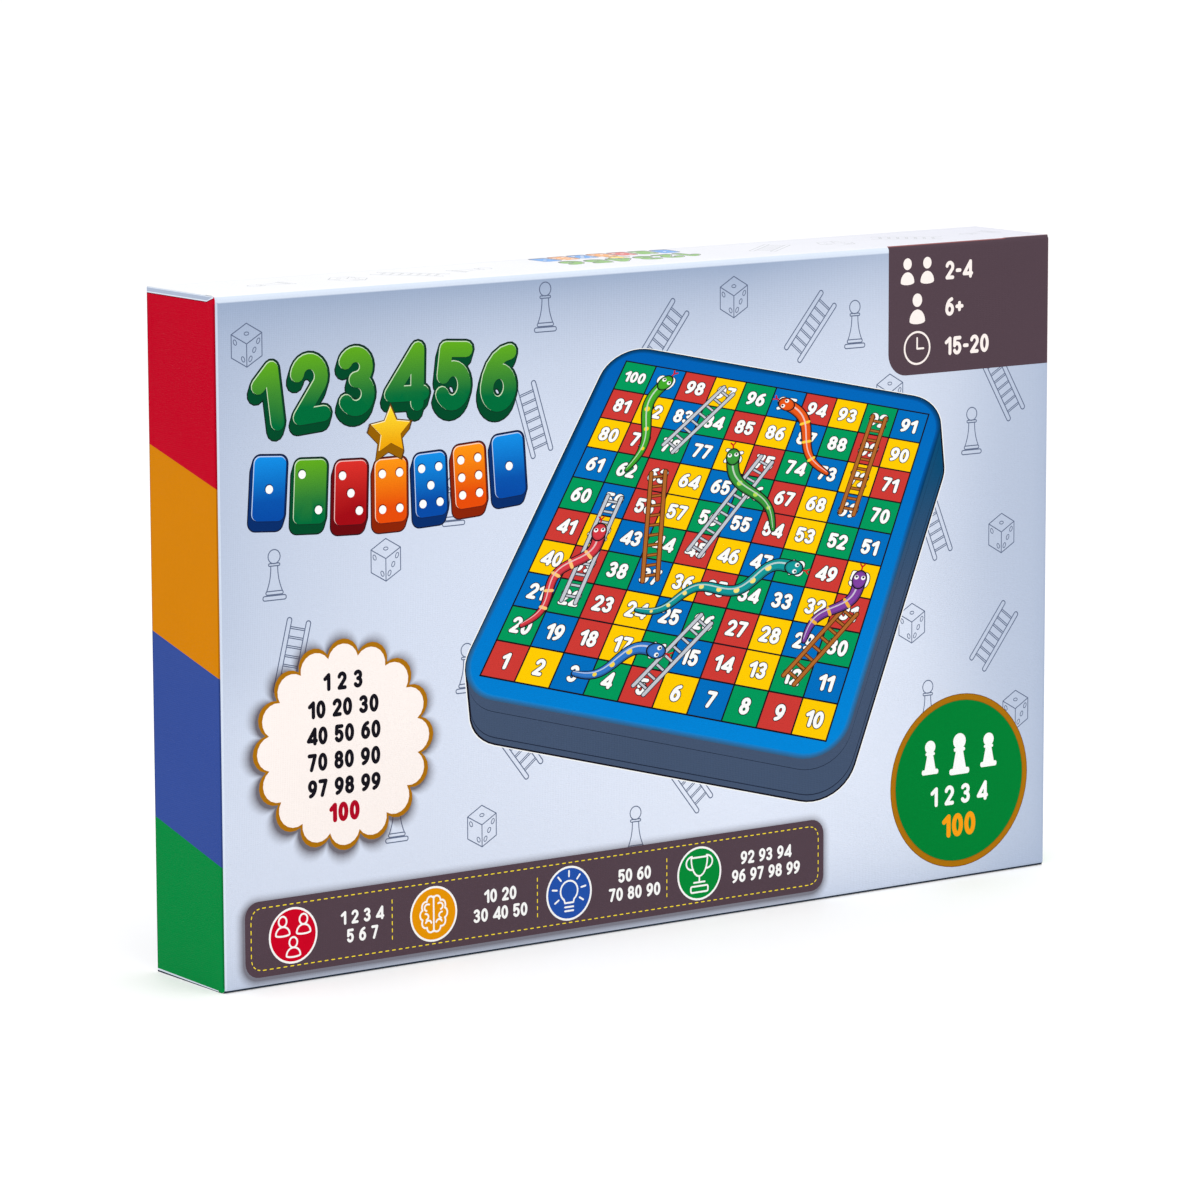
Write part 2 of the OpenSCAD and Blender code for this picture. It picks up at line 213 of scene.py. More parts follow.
class Sheet:
    """Flat artwork in millimetres. Each fill is printed over the ones before it."""

    def __init__(self, ground, regions, lines=()):
        self.ground = ground
        self.regions = regions
        self.lines = lines
        self.fills = []
        # How far inks are paled towards white, as a painted sheen.
        self.wash = 0

    def fill(self, outline, ink, place=None):
        points = [place(*p) for p in outline] if place else list(outline)
        if signed_area(points) < 0:
            points.reverse()
        # Inks paled towards white: a painted sheen.
        if self.wash:
            ink = washed(ink, self.wash)
        self.fills.append((points, ink))

    def fills_of(self, outlines, ink, place=None):
        for outline in outlines:
            self.fill(outline, ink, place)

    def strokes(self, lines, width, ink, place=None, cap=6):
        for line in lines:
            self.fill(stroke(line, width, cap), ink, place)

    def ink_at(self, x, y, layers):
        colour = self.ground(x, y)
        for layer in layers:
            ink = self.fills[layer][1]
            colour = ink(x, y, colour) if callable(ink) else ink
        return colour

    def triangles(self):
        """Cuts the sheet along every outline and returns points, triangles and their inks."""
        points, edges, faces = [], [], []
        for outline in self.regions + [f[0] for f in self.fills]:
            faces.append(list(range(len(points), len(points) + len(outline))))
            points += outline
        for a, b in self.lines:
            edges.append((len(points), len(points) + 1))
            points += [a, b]
        made = delaunay_2d_cdt([Vector(p) for p in points], edges, faces, 1, 1e-5, True)
        flat = [tuple(p) for p in made[0]]
        kept, inks = [], []
        for triangle, sources in zip(made[2], made[5]):
            if min(sources, default=len(self.regions)) >= len(self.regions):
                continue
            corners = [flat[i] for i in triangle]
            if signed_area(corners) < 0:
                triangle, corners = triangle[::-1], corners[::-1]
            layers = sorted(s - len(self.regions) for s in sources if s >= len(self.regions))
            solid = [i for i, layer in enumerate(layers) if not callable(self.fills[layer][1])]
            if solid:
                layers = layers[solid[-1]:]
            kept.append(triangle)
            inks += [self.ink_at(x, y, layers) for x, y in corners]
        return flat, kept, inks

    def piece(self, name, place, depths, material):
        """A thin solid piece. Its printed side lies at depths[0] and its back at depths[1]."""
        flat, triangles, inks = self.triangles()
        used = sorted({i for t in triangles for i in t})
        index = {old: new for new, old in enumerate(used)}
        triangles = [tuple(index[i] for i in t) for t in triangles]
        points = [flat[i] for i in used]
        return thick_piece(name, points, triangles, place, depths, material, inks)


def washed(ink, share):
    """An ink paled towards white: a painted sheen."""
    if callable(ink):
        return lambda x, y, under: mix(ink(x, y, under), WHITE, share)
    return mix(ink, WHITE, share)


def open_edges(faces):
    seen = set()
    for face in faces:
        for a, b in zip(face, face[1:] + face[:1]):
            seen.add((a, b))
    return sorted((a, b) for a, b in seen if (b, a) not in seen)


def thick_piece(name, points, faces, place, depths, material, inks=None):
    """A thin solid from flat faces: its front at depths[0], its back at depths[1], its sides."""
    count = len(points)
    verts = [place(*p, d) for d in depths for p in points]
    sides = open_edges(faces)
    solid = faces + [tuple(i + count for i in reversed(f)) for f in faces]
    solid += [(b, a, a + count, b + count) for a, b in sides]
    if inks:
        inks = inks + [PAPER_WHITE] * (3 * len(faces) + 4 * len(sides))
    return mesh_piece(name, verts, solid, material, inks)


def add_object(name, data):
    made = bpy.data.objects.new(name, data)
    bpy.context.scene.collection.objects.link(made)
    return made


def mesh_piece(name, verts, faces, material, colours=None):
    """A mesh object. Points come in millimetres and inks go to the colour attribute."""
    mesh = bpy.data.meshes.new(name)
    mesh.from_pydata([tuple(v * MM for v in p) for p in verts], [], faces)
    if colours:
        ink = mesh.color_attributes.new("ink", "FLOAT_COLOR", "CORNER")
        values = np.ones((len(colours), 4), np.float32)
        values[:, :3] = colours
        ink.data.foreach_set("color", values.ravel())
    mesh.materials.append(material)
    mesh.update()
    return add_object(name, mesh)


def grid_lines(x0, x1, y0, y1, xs, ys):
    return [((x, y0), (x, y1)) for x in xs] + [((x0, y), (x1, y)) for y in ys]


def box_outline(x0, y0, x1, y1):
    return [(x0, y0), (x1, y0), (x1, y1), (x0, y1)]


# Folding


def bent(t, depth, r=CREASE_R):
    """Where a folded panel lies at t millimetres before a crease: its distance from the
    plane behind the crease, and its depth under the plane before it."""
    if t >= r:
        return t, depth
    if t <= -r:
        return depth, -t
    a = (r - t) / (2 * r) * math.pi / 2
    return r - (r - depth) * math.sin(a), r - (r - depth) * math.cos(a)


def fold_cover(x, z, depth):
    """Folds the cover's flat sheet: left, top and bottom flaps, and the hinge edge."""
    t_left, t_right = x, W - x
    t_edge = min(H - z, z)
    in_left, sink_left = bent(t_left, depth)
    in_right, sink_right = bent(t_right, depth)
    in_edge, sink_edge = bent(t_edge, depth)
    on_end = min(max(-t_edge / CREASE_R, 0), 1)
    on_side = min(max(-t_left / CREASE_R, 0), 1)
    if t_left < t_right:
        px = LEFT + (max(t_left, 0) * on_end + in_left * (1 - on_end) if on_end else in_left)
    else:
        px = RIGHT - (max(t_right, 0) * on_end + in_right * (1 - on_end) if on_end else in_right)
    sink_x = (sink_left - depth) + (sink_right - depth)
    sink = depth + sink_x * (1 - on_end) + (sink_edge - depth) * (1 - on_side)
    from_edge = t_edge * on_side + in_edge * (1 - on_side)
    pz = TOP - from_edge if H - z < z else BOTTOM + from_edge
    return (px, FRONT + sink, pz)


def fold_tray(u, z, depth):
    """Folds the tray's flat sheet. u runs from the spine's edge across the back."""
    inward, sink = bent(u, depth)
    return (RIGHT - inward, BACK - sink, z)


def fold_hinge(x, z, depth):
    """The strip that wraps the hinge edge, from the front round to the spine."""
    inward, sink = bent(W - x, depth)
    return (RIGHT - inward, FRONT + sink, z)


# Materials


def new_material(name, roughness, specular=0.5):
    material = bpy.data.materials.new(name)
    material.use_nodes = True
    shader = material.node_tree.nodes["Principled BSDF"]
    shader.inputs["Roughness"].default_value = roughness
    shader.inputs["Specular IOR Level"].default_value = specular
    return material, material.node_tree, shader


def add_node(tree, kind, **values):
    node = tree.nodes.new(kind)
    for key, value in values.items():
        if hasattr(node, key) and not key[0].isupper():
            setattr(node, key, value)
        else:
            node.inputs[key].default_value = value
    return node


def texture(tree, kind, **values):
    """A texture in object space. Its scale is in cells per metre."""
    place = tree.nodes.new("ShaderNodeTexCoord")
    made = add_node(tree, kind, **values)
    tree.links.new(place.outputs["Object"], made.inputs["Vector"])
    return made


def noise(tree, scale, detail=4):
    return texture(tree, "ShaderNodeTexNoise", Scale=scale, Detail=detail,
                   Roughness=0.55).outputs["Fac"]


def wave(tree, scale, axis):
    made = texture(tree, "ShaderNodeTexWave", bands_direction=axis, Scale=scale, Distortion=1.2,
                   Detail=2.0)
    made.inputs["Detail Scale"].default_value = 3
    return made.outputs["Fac"]


def ramp(tree, source, low, high, start=0.3, end=0.7):
    made = tree.nodes.new("ShaderNodeMapRange")
    for key, value in (("From Min", start), ("From Max", end), ("To Min", low), ("To Max", high)):
        made.inputs[key].default_value = value
    tree.links.new(source, made.inputs["Value"])
    return made.outputs["Result"]


def combine(tree, first, second, operation="ADD"):
    made = tree.nodes.new("ShaderNodeMath")
    made.operation = operation
    tree.links.new(first, made.inputs[0])
    if isinstance(second, (int, float)):
        made.inputs[1].default_value = second
    else:
        tree.links.new(second, made.inputs[1])
    return made.outputs[0]


def shade_by(tree, colour, factor):
    """Multiplies a colour by a number that varies over the surface."""
    made = tree.nodes.new("ShaderNodeVectorMath")
    made.operation = "SCALE"
    if isinstance(colour, tuple):
        made.inputs[0].default_value = colour
    else:
        tree.links.new(colour, made.inputs[0])
    tree.links.new(factor, made.inputs["Scale"])
    return made.outputs["Vector"]


def paint(tree, shader, colour, factor):
    tree.links.new(shade_by(tree, colour, factor), shader.inputs["Base Color"])


def bump(tree, shader, height, distance, strength=1.0):
    made = add_node(tree, "ShaderNodeBump", Strength=strength, Distance=distance)
    tree.links.new(height, made.inputs["Height"])
    tree.links.new(made.outputs["Normal"], shader.inputs["Normal"])


def printed_card(name, roughness=0.42, emboss=0.00002):
    """Coated card: the ink with a little uneven density, a satin varnish and a linen emboss."""
    material, tree, shader = new_material(name, roughness, 0.012)
    ink = tree.nodes.new("ShaderNodeVertexColor")
    ink.layer_name = "ink"
    cloud = ramp(tree, noise(tree, 9, 3), 0.84, 0.88)
    grain = ramp(tree, noise(tree, 900, 2), 0.985, 1.01)
    density = combine(tree, cloud, grain, "MULTIPLY")
    paint(tree, shader, ink.outputs["Color"], density)
    tree.links.new(ramp(tree, noise(tree, 40, 3), roughness - 0.05, roughness + 0.06),
                   shader.inputs["Roughness"])
    threads = 420
    weave = combine(tree, wave(tree, threads, "X"), wave(tree, threads, "Y"))
    weave = combine(tree, weave, wave(tree, threads, "Z"))
    bump(tree, shader, weave, emboss)
    return material


def bare_card(name, colour, fibre=0.00004):
    """Uncoated card with pulp fibres and a slight grey mottle."""
    material, tree, shader = new_material(name, 0.85, 0.2)
    mottle = ramp(tree, noise(tree, 260, 5), 0.94, 1.03)
    flecks = ramp(tree, noise(tree, 2200, 2), 0.93, 1.0, 0.3, 0.45)
    paint(tree, shader, colour, combine(tree, mottle, flecks, "MULTIPLY"))
    bump(tree, shader, noise(tree, 1400, 4), fibre)
    return material


def foam_material():
    """Charcoal polyethylene foam: closed cells of about a millimetre, and a dusty sheen."""
    material, tree, shader = new_material("foam", 0.95, 0.15)
    shader.inputs["Sheen Weight"].default_value = 0.25
    shader.inputs["Sheen Roughness"].default_value = 0.6
    cells = texture(tree, "ShaderNodeTexVoronoi", Scale=900.0)
    tone = ramp(tree, cells.outputs["Distance"], 1.25, 0.75, 0.0, 0.7)
    cloud = ramp(tree, noise(tree, 30, 4), 0.88, 1.12)
    paint(tree, shader, rgb(62, 65, 72), combine(tree, tone, cloud, "MULTIPLY"))
    bump(tree, shader, cells.outputs["Distance"], 0.0003, 0.9)
    return material


def moulded_plastic(name, colour, roughness, grain, speck=0.04):
    """Injection moulded plastic with a fine spark-eroded texture."""
    material, tree, shader = new_material(name, roughness)
    cloud = ramp(tree, noise(tree, 25, 3), 1 - speck, 1 + speck)
    paint(tree, shader, colour, cloud)
    tree.links.new(ramp(tree, noise(tree, 120, 4), roughness - 0.05, roughness + 0.07),
                   shader.inputs["Roughness"])
    bump(tree, shader, noise(tree, 2600, 3), grain)
    return material


def steel_material():
    """Bright zinc-plated steel with fine turning marks."""
    material, tree, shader = new_material("screw_steel", 0.32)
    shader.inputs["Metallic"].default_value = 1.0
    tone = ramp(tree, noise(tree, 500, 4), 0.85, 1.05)
    paint(tree, shader, rgb(190, 192, 196), tone)
    bump(tree, shader, noise(tree, 3000, 2), 0.00002)
    return material


def rubber_material():
    material, tree, shader = new_material("foot_rubber", 0.8, 0.3)
    tone = ramp(tree, noise(tree, 400, 4), 0.85, 1.15)
    paint(tree, shader, rgb(34, 35, 38), tone)
    bump(tree, shader, noise(tree, 1800, 3), 0.00005)
    return material


# Numerals, built from strokes in a box one unit high

GLYPH_W = 0.6
GLYPH_WIDTHS = {"1": 0.44, "-": 0.4, "+": 0.56, "4": 0.66, " ": 0.3}


def sign_width(sign):
    return GLYPH_WIDTHS.get(sign, GLYPH_W)


def glyph_strokes(sign, t):
    """The centre lines of one numeral, for strokes of thickness t."""
    h = t / 2
    w = sign_width(sign)
    left, right, low, high = h, w - h, h, 1 - h
    mid, rx, tall = w / 2, w / 2 - h, 1 - t

    def ring(cy, a, b):
        return [arc(mid, cy, a, b, 90, 270), arc(mid, cy, a, b, 270, 450)]

    if sign == "0":
        return ring(0.5, rx, tall / 2)
    if sign == "1":
        return [[(left * 0.8, high - 0.2), (right, high)], [(right, high), (right, low)]]
    if sign == "2":
        top = arc(mid, high - 0.28 * tall, rx, 0.28 * tall, 165, -35)
        return [top, [top[-1], (left, low)], [(left, low), (right, low)]]
    if sign == "3":
        a, b = 0.235 * tall, 0.265 * tall
        return [arc(mid - 0.02, high - a, rx * 0.92, a, 150, -90),
                arc(mid - 0.02, low + b, rx, b, 90, -150)]
    if sign == "4":
        stem, bar = right - 0.03, low + 0.19 * tall
        return [[(stem, low), (stem, high)], [(stem, high), (left - 0.01, bar)],
                [(left - 0.01, bar), (right + 0.05, bar)]]
    if sign == "5":
        b = 0.32 * tall
        return [[(left + 0.04, high), (right - 0.01, high)],
                [(left + 0.04, high), (left + 0.02, low + 1.55 * b)],
                arc(mid - 0.01, low + b, rx, b, 135, -150)]
    if sign in "69":
        b = 0.31 * tall
        lines = ring(low + b, rx, b)
        lines.append(arc(mid + rx * 0.95, low + b, rx * 1.95, tall - b, 97, 180))
        if sign == "9":
            lines = [[(w - x, 1 - y) for x, y in line] for line in lines]
        return lines
    if sign == "7":
        return [[(left, high), (right, high)], [(right, high), (left + 0.13, low)]]
    if sign == "8":
        a = 0.235 * tall
        b = tall / 2 - a
        return ring(high - a, rx * 0.88, a) + ring(low + b, rx, b)
    if sign == "-":
        return [[(left, 0.46), (right, 0.46)]]
    if sign == "+":
        return [[(left, 0.48), (right, 0.48)], [(mid, 0.48 - rx), (mid, 0.48 + rx)]]
    return []


def line_width(text, gap):
    return sum(sign_width(c) for c in text) + gap * (len(text) - 1)


def lettering(text, cx, cy, height, t=0.22, gap=0.07):
    """Centre lines of a row of numerals, centred on a point."""
    x = -line_width(text, gap) / 2
    lines = []
    for sign in text:
        for line in glyph_strokes(sign, t):
            lines.append([(cx + (x + px) * height, cy + (py - 0.5) * height) for px, py in line])
        x += sign_width(sign) + gap
    return lines


def write(sheet, text, cx, cy, height, ink, t=0.22, outline=None, margin=0.05, place=None,
          gap=0.07):
    """Prints a row of numerals, with an outline of another ink if one is given."""
    lines = lettering(text, cx, cy, height, t, gap)
    if outline:
        sheet.strokes(lines, (t + 2 * margin) * height, outline, place)
    sheet.strokes(lines, t * height, ink, place)


# Small pictures


def pawn_shape(cx, cy, size):
    """A plain pawn, one piece of outline for each part, from its foot up."""
    def at(x, y):
        return (cx + x * size, cy + (y - 0.5) * size)
    skirt = [at(*p) for p in ((-0.2, 0.14), (0.2, 0.14), (0.1, 0.6), (-0.1, 0.6))]
    return [
        rounded_box(*at(-0.3, 0), *at(0.3, 0.15), 0.06 * size, 4), skirt,
        rounded_box(*at(-0.17, 0.55), *at(0.17, 0.64), 0.04 * size, 3),
        ellipse(*at(0, 0.79), 0.19 * size, steps=20),
    ]


def person_shape(cx, cy, size):
    head = ellipse(cx, cy + 0.28 * size, 0.19 * size, 0.21 * size, 20)
    body = arc(cx, cy - 0.38 * size, 0.31 * size, 0.37 * size, 0, 180, 12)
    foot = arc(cx, cy - 0.38 * size, 0.31 * size, 0.09 * size, 180, 360, 6)[1:-1]
    return [head, body + foot]


def star_shape(cx, cy, size, points=5, inner=0.45):
    made = []
    for i in range(2 * points):
        a = math.radians(90 + 180 * i / points)
        r = size / 2 * (inner if i % 2 else 1)
        made.append((cx + r * math.cos(a), cy + r * math.sin(a)))
    return made


PIPS = {
    1: [(0, 0)], 2: [(-1, 1), (1, -1)], 3: [(-1, 1), (0, 0), (1, -1)],
    4: [(-1, 1), (1, 1), (-1, -1), (1, -1)],
    5: [(-1, 1), (1, 1), (0, 0), (-1, -1), (1, -1)],
    6: [(-1, 1), (1, 1), (-1, 0), (1, 0), (-1, -1), (1, -1)],
}


def outline_die(cx, cy, size):
    """A die seen from above a corner, as thin lines with ring pips."""
    tilt = math.radians(30)
    a = (math.cos(tilt) * size / 2, math.sin(tilt) * size / 2)
    b = (-a[0], a[1])
    down = (0, -size * 0.56)

    def at(i, j, k):
        return (cx + i * a[0] + j * b[0] + k * down[0], cy + i * a[1] + j * b[1] + k * down[1])

    faces = [
        ([at(0, 0, 0), at(1, 0, 0), at(1, 1, 0), at(0, 1, 0)], lambda u, v: at(u, v, 0), 1),
        ([at(0, 0, 0), at(1, 0, 0), at(1, 0, 1), at(0, 0, 1)], lambda u, v: at(u, 0, v), 3),
        ([at(0, 0, 0), at(0, 1, 0), at(0, 1, 1), at(0, 0, 1)], lambda u, v: at(0, u, v), 2),
    ]
    lines = []
    for corners, face_at, count in faces:
        lines += polyline(corners, 0.4, True)
        for px, py in PIPS[count]:
            ring = [face_at(0.5 + 0.26 * px + 0.11 * math.cos(t),
                            0.5 + 0.26 * py + 0.11 * math.sin(t))
                    for t in (math.radians(30 * i) for i in range(13))]
            lines += [stroke(ring[:7], 0.34, 2), stroke(ring[6:], 0.34, 2)]
    return lines


def outline_pawn(cx, cy, size):
    """A pawn as thin lines."""
    line = 0.42
    lines = loop(cx, cy + 0.36 * size, 0.14 * size, 0.14 * size, line)
    for y, half, tall in ((0.2, 0.13, 0.05), (-0.36, 0.2, 0.07), (-0.46, 0.27, 0.09)):
        corners = rounded_box(cx - half * size, cy + (y - tall / 2) * size,
                              cx + half * size, cy + (y + tall / 2) * size, tall * size * 0.45, 3)
        lines += polyline(corners, line, True)
    for side in (-1, 1):
        flank = [(cx + side * size * (0.08 + 0.1 * t ** 2.2), cy + size * (0.17 - 0.49 * t))
                 for t in (i / 8 for i in range(9))]
        lines.append(stroke(flank, line, 3))
    return lines


def outline_ladder(cx, cy, size, turn):
    """A ladder as thin double lines, leaning by an angle."""
    gap, rail = 0.15 * size, 0.035 * size
    lines = []
    for side in (-1, 1):
        x = side * gap
        frame_line = rounded_box(x - rail, -size / 2, x + rail, size / 2, rail * 0.9, 3)
        lines += polyline(frame_line, 0.44, True)
    for i in range(7):
        y = size * (i - 3) * 0.125
        for dy in (-0.012 * size, 0.012 * size):
            lines.append(stroke([(-gap + rail, y + dy), (gap - rail, y + dy)], 0.38, 3))
    return [moved(outline, cx, cy, 1, turn) for outline in lines]


# Soft shadows and gradients


def shadow_ink(amount, colour=SHADOW):
    return lambda x, y, under: mix(under, colour, amount)


def soft_shadow(sheet, outline_at, reach, amount, steps=10):
    """Rings of growing darkness. outline_at(g) is the shape grown by g millimetres."""
    rest = 1.0
    for i in range(steps):
        share = ((i + 1) / steps) ** 1.6 * amount
        step = 1 - (1 - share) / rest
        rest *= 1 - step
        sheet.fill(outline_at(reach * (1 - i / steps)), shadow_ink(step))


def fade(y_low, y_high, low, high):
    """An ink that runs from one colour to another up the sheet."""
    return lambda x, y, under: mix(low, high, (y - y_low) / (y_high - y_low))


# The playing face: squares, numerals, snakes and ladders, in units of one square

CELL_INKS = (CELL_RED, CELL_YELLOW, CELL_BLUE, CELL_GREEN)
ROW_ORDERS = ((0, 1, 2, 3), (3, 2, 0, 1), (2, 3, 0, 1), (1, 0, 3, 2))
LADDERS = ((5, 26), (12, 31), (22, 59), (37, 63), (45, 75), (69, 92), (78, 97))
SNAKES = ((99, 62), (95, 73), (76, 54), (50, 29), (48, 24), (42, 20), (16, 3))
WOOD = rgb(176, 104, 44)
WOOD_DARK = rgb(86, 44, 16)
SILVER = rgb(196, 200, 208)
SILVER_DARK = rgb(52, 56, 66)
SNAKE_INKS = (
    (rgb(66, 168, 42), rgb(240, 214, 40)), (rgb(232, 88, 24), rgb(250, 206, 60)),
    (rgb(58, 150, 60), rgb(176, 222, 80)), (rgb(128, 66, 160), rgb(240, 180, 60)),
    (rgb(20, 150, 150), rgb(250, 226, 120)), (rgb(214, 60, 70), rgb(255, 200, 120)),
    (rgb(50, 120, 200), rgb(246, 214, 70)),
)


def square_of(number):
    row, step = divmod(number - 1, 10)
    return (step if row % 2 == 0 else 9 - step) + 0.5, row + 0.5


def draw_squares(sheet, place):
    for number in range(1, 101):
        x, y = square_of(number)
        order = ROW_ORDERS[int(y) % 4]
        ink = CELL_INKS[order[int(x) % 4]]
        sheet.fill(box_outline(x - 0.5, y - 0.5, x + 0.5, y + 0.5), ink, place)
    for i in range(11):
        sheet.fill(box_outline(i - 0.022, -0.022, i + 0.022, 10.022), INK, place)
        sheet.fill(box_outline(-0.022, i - 0.022, 10.022, i + 0.022), INK, place)


def draw_numerals(sheet, place):
    for number in range(1, 101):
        x, y = square_of(number)
        height = 0.38 if number == 100 else 0.46
        write(sheet, str(number), x, y, height, WHITE, 0.215, INK, 0.05, place, 0.06)


def draw_ladder(sheet, place, start, end, ink, dark):
    a, b = np.array(square_of(start)), np.array(square_of(end))
    along = (b - a) / np.linalg.norm(b - a)
    side = np.array([-along[1], along[0]]) * 0.21
    a, b = a - along * 0.12, b + along * 0.12
    length = np.linalg.norm(b - a)
    rungs = int(length / 0.3)
    spots = [a + along * length * (i + 0.5) / rungs for i in range(rungs)]
    rails = [[tuple(a + s * side), tuple(b + s * side)] for s in (-1, 1)]
    bars = [[tuple(p - side), tuple(p + side)] for p in spots]
    for lines, wide in ((bars, 0.11), (rails, 0.15)):
        sheet.strokes(lines, wide, dark, place)
        sheet.strokes(lines, wide - 0.055, ink, place)


def snake_line(start, end, seed):
    a, b = np.array(square_of(start)), np.array(square_of(end))
    along = b - a
    length = np.linalg.norm(along)
    side = np.array([-along[1], along[0]]) / length
    bends = max(2, round(length * 0.8))
    swing = 0.24 if seed % 2 else -0.24
    steps = 14 * bends
    points = []
    for i in range(steps + 1):
        t = i / steps
        sway = swing * math.sin(math.pi * bends * t) * (1 - 0.3 * t)
        points.append(tuple(a + along * t + side * sway))
    return points


def draw_snake(sheet, place, start, end, inks, seed):
    body, marks = inks
    line = snake_line(start, end, seed)
    count = len(line)
    radii = [0.045 + 0.125 * (1 - i / (count - 1)) ** 0.6 for i in range(count)]

    def ribbon(dx, dy, share, ink, grow=0):
        shifted = [(x + dx, y + dy) for x, y in line]
        sheet.fill(tapered(shifted, [r * share + grow for r in radii]), ink, place)

    ribbon(0, 0, 1, INK, 0.035)
    ribbon(0, 0, 1, mix(body, INK, 0.4))
    ribbon(-0.012, 0.022, 0.84, body)
    for i in range(9, count - 5, 6):
        a, b = np.array(line[i - 1]), np.array(line[i + 1])
        across = np.array([a[1] - b[1], b[0] - a[0]]) / np.linalg.norm(b - a) * radii[i] * 0.9
        if seed % 2:
            ends = [tuple(line[i] - across), tuple(line[i] + across)]
            sheet.fill(stroke(ends, 0.09, 3), marks, place)
        else:
            sheet.fill(ellipse(*line[i], radii[i] * 0.6, steps=12), marks, place)
    ribbon(-0.03, 0.055, 0.16, mix(body, WHITE, 0.5))
    head = np.array(line[0])
    look = head - np.array(line[3])
    look /= np.linalg.norm(look)
    side = np.array([-look[1], look[0]])
    tongue = [tuple(head + look * 0.2), tuple(head + look * 0.38)]
    forks = [[tongue[1], tuple(head + look * 0.47 + side * s * 0.07)] for s in (-1, 1)]
    sheet.strokes([tongue] + forks, 0.045, rgb(200, 20, 30), place)
    for grow, ink in ((1.17, INK), (1, mix(body, INK, 0.25)), (0.85, body)):
        skull = [tuple(head + look * (0.25 * grow * math.cos(t))
                       + side * (0.19 * grow * math.sin(t)))
                 for t in (math.radians(15 * i) for i in range(24))]
        sheet.fill(skull, ink, place)
    for s in (-1, 1):
        eye = head + look * 0.06 + side * s * 0.1
        sheet.fill(ellipse(*eye, 0.065, steps=12), WHITE, place)
        sheet.fill(ellipse(*(eye + look * 0.02), 0.034, steps=8), INK, place)


def draw_playing_face(sheet, place):
    draw_squares(sheet, place)
    draw_numerals(sheet, place)
    for i, (start, end) in enumerate(LADDERS):
        inks = (WOOD, WOOD_DARK) if i % 2 else (SILVER, SILVER_DARK)
        draw_ladder(sheet, place, start, end, *inks)
    for i, (start, end) in enumerate(SNAKES):
        draw_snake(sheet, place, start, end, SNAKE_INKS[i], i)


# Artwork of the front: places in millimetres from the panel's lower left corner

# Corners of the pictured grid of squares, in order round from the lower left
PICTURE = ((113.9, 106.5), (277.7, 63.4), (328.5, 188.6), (181.8, 220.0))
# How far the side of the pictured board reaches below its rim
PICTURE_DROP = (1.8, -17.0)


def perspective(corners, size):
    """The mapping that takes a square of that size to four corners."""
    rows, values = [], []
    square = ((0, 0), (size, 0), (size, size), (0, size))
    for (u, v), (x, y) in zip(square, corners):
        rows += [[u, v, 1, 0, 0, 0, -u * x, -v * x], [0, 0, 0, u, v, 1, -u * y, -v * y]]
        values += [x, y]
    a = np.linalg.solve(np.array(rows, float), np.array(values, float))

    def place(u, v):
        w = a[6] * u + a[7] * v + 1
        return ((a[0] * u + a[1] * v + a[2]) / w, (a[3] * u + a[4] * v + a[5]) / w)
    return place


def hull(points):
    """The outline around a set of points."""
    points = sorted(set(points))

    def half(run):
        made = []
        for p in run:
            while len(made) > 1:
                (ax, ay), (bx, by) = made[-2], made[-1]
                if (bx - ax) * (p[1] - ay) - (by - ay) * (p[0] - ax) > 0:
                    break
                made.pop()
            made.append(p)
        return made[:-1]
    return half(points) + half(points[::-1])


def draw_pictured_board(sheet):
    place = perspective(PICTURE, 10)
    dx, dy = PICTURE_DROP

    def rim_outline(grow, drop=0):
        left, low, right = 0.56 + grow, 0.55 + grow, 10.5 + grow
        box = rounded_box(-left, -low, right, right, 1.15 + grow, 10)
        return [(x + dx * drop, y + dy * drop) for x, y in (place(*p) for p in box)]

    def slab(drop, grow):
        return hull(rim_outline(grow) + rim_outline(grow, drop))

    side = fade(112, 168, SIDE_SLATE, TEAL)
    deep = fade(112, 168, SIDE_DEEP, mix(TEAL, INK, 0.5))
    for drop, grow, ink in ((1, 0.07, WHITE), (1, 0.045, INK), (1, 0, side), (0.88, 0, deep),
                            (0.865, -0.01, side), (0.3, -0.02, deep), (0.285, -0.02, side)):
        sheet.fill(slab(drop, grow), ink)
    for i in range(8):
        share = (i / 8) ** 1.3
        sheet.fill(rim_outline(0.02 - 0.018 * i),
                   fade(100, 160, mix(RIM_SOFT, RIM_LIGHT, share), mix(RIM_DARK, RIM_BLUE, share)))
    sheet.fill(rim_outline(-0.124), fade(50, 220, RIM_LIGHT, RIM_BLUE))
    draw_playing_face(sheet, place)


GREEN = (rgb(104, 180, 18), rgb(0, 108, 58), rgb(2, 74, 42))
BLUE = (rgb(20, 150, 238), rgb(6, 74, 164), rgb(8, 46, 106))
RED = (rgb(228, 52, 44), rgb(160, 10, 20), rgb(104, 8, 14))
ORANGE = (rgb(255, 158, 20), rgb(228, 76, 8), rgb(138, 36, 6))
YELLOW = (rgb(255, 222, 50), rgb(238, 166, 8), rgb(150, 96, 4))
TITLE_X0 = 15.5
TITLE_STRETCH = 1.12
TITLE_TILES = (
    (BLUE, 1, -4), (GREEN, 2, -3), (RED, 3, -2), (ORANGE, 4, 0), (BLUE, 5, 2), (ORANGE, 6, 3),
    (BLUE, 1, 4),
)


def block_sign(sheet, shapes, base, height, inks, place=None):
    """A sign that looks solid. shapes(grow, dx, dy) gives its outlines in millimetres."""
    top, low, side = inks
    for grow, ink in ((0.6, mix(side, INK, 0.8)), (0.1, side)):
        for i in range(6, -1, -1):
            sheet.fills_of(shapes(grow, -0.18 * i, -0.5 * i), ink, place)
    sheet.fills_of(shapes(-0.05, 0, 0), mix(side, INK, 0.35), place)
    sheet.fills_of(shapes(-0.35, -0.12, 0.14), mix(top, WHITE, 0.5), place)
    face = fade(base + 0.25 * height, base + 1.1 * height, low, top)
    sheet.fills_of(shapes(-0.5, 0.08, -0.1), face, place)


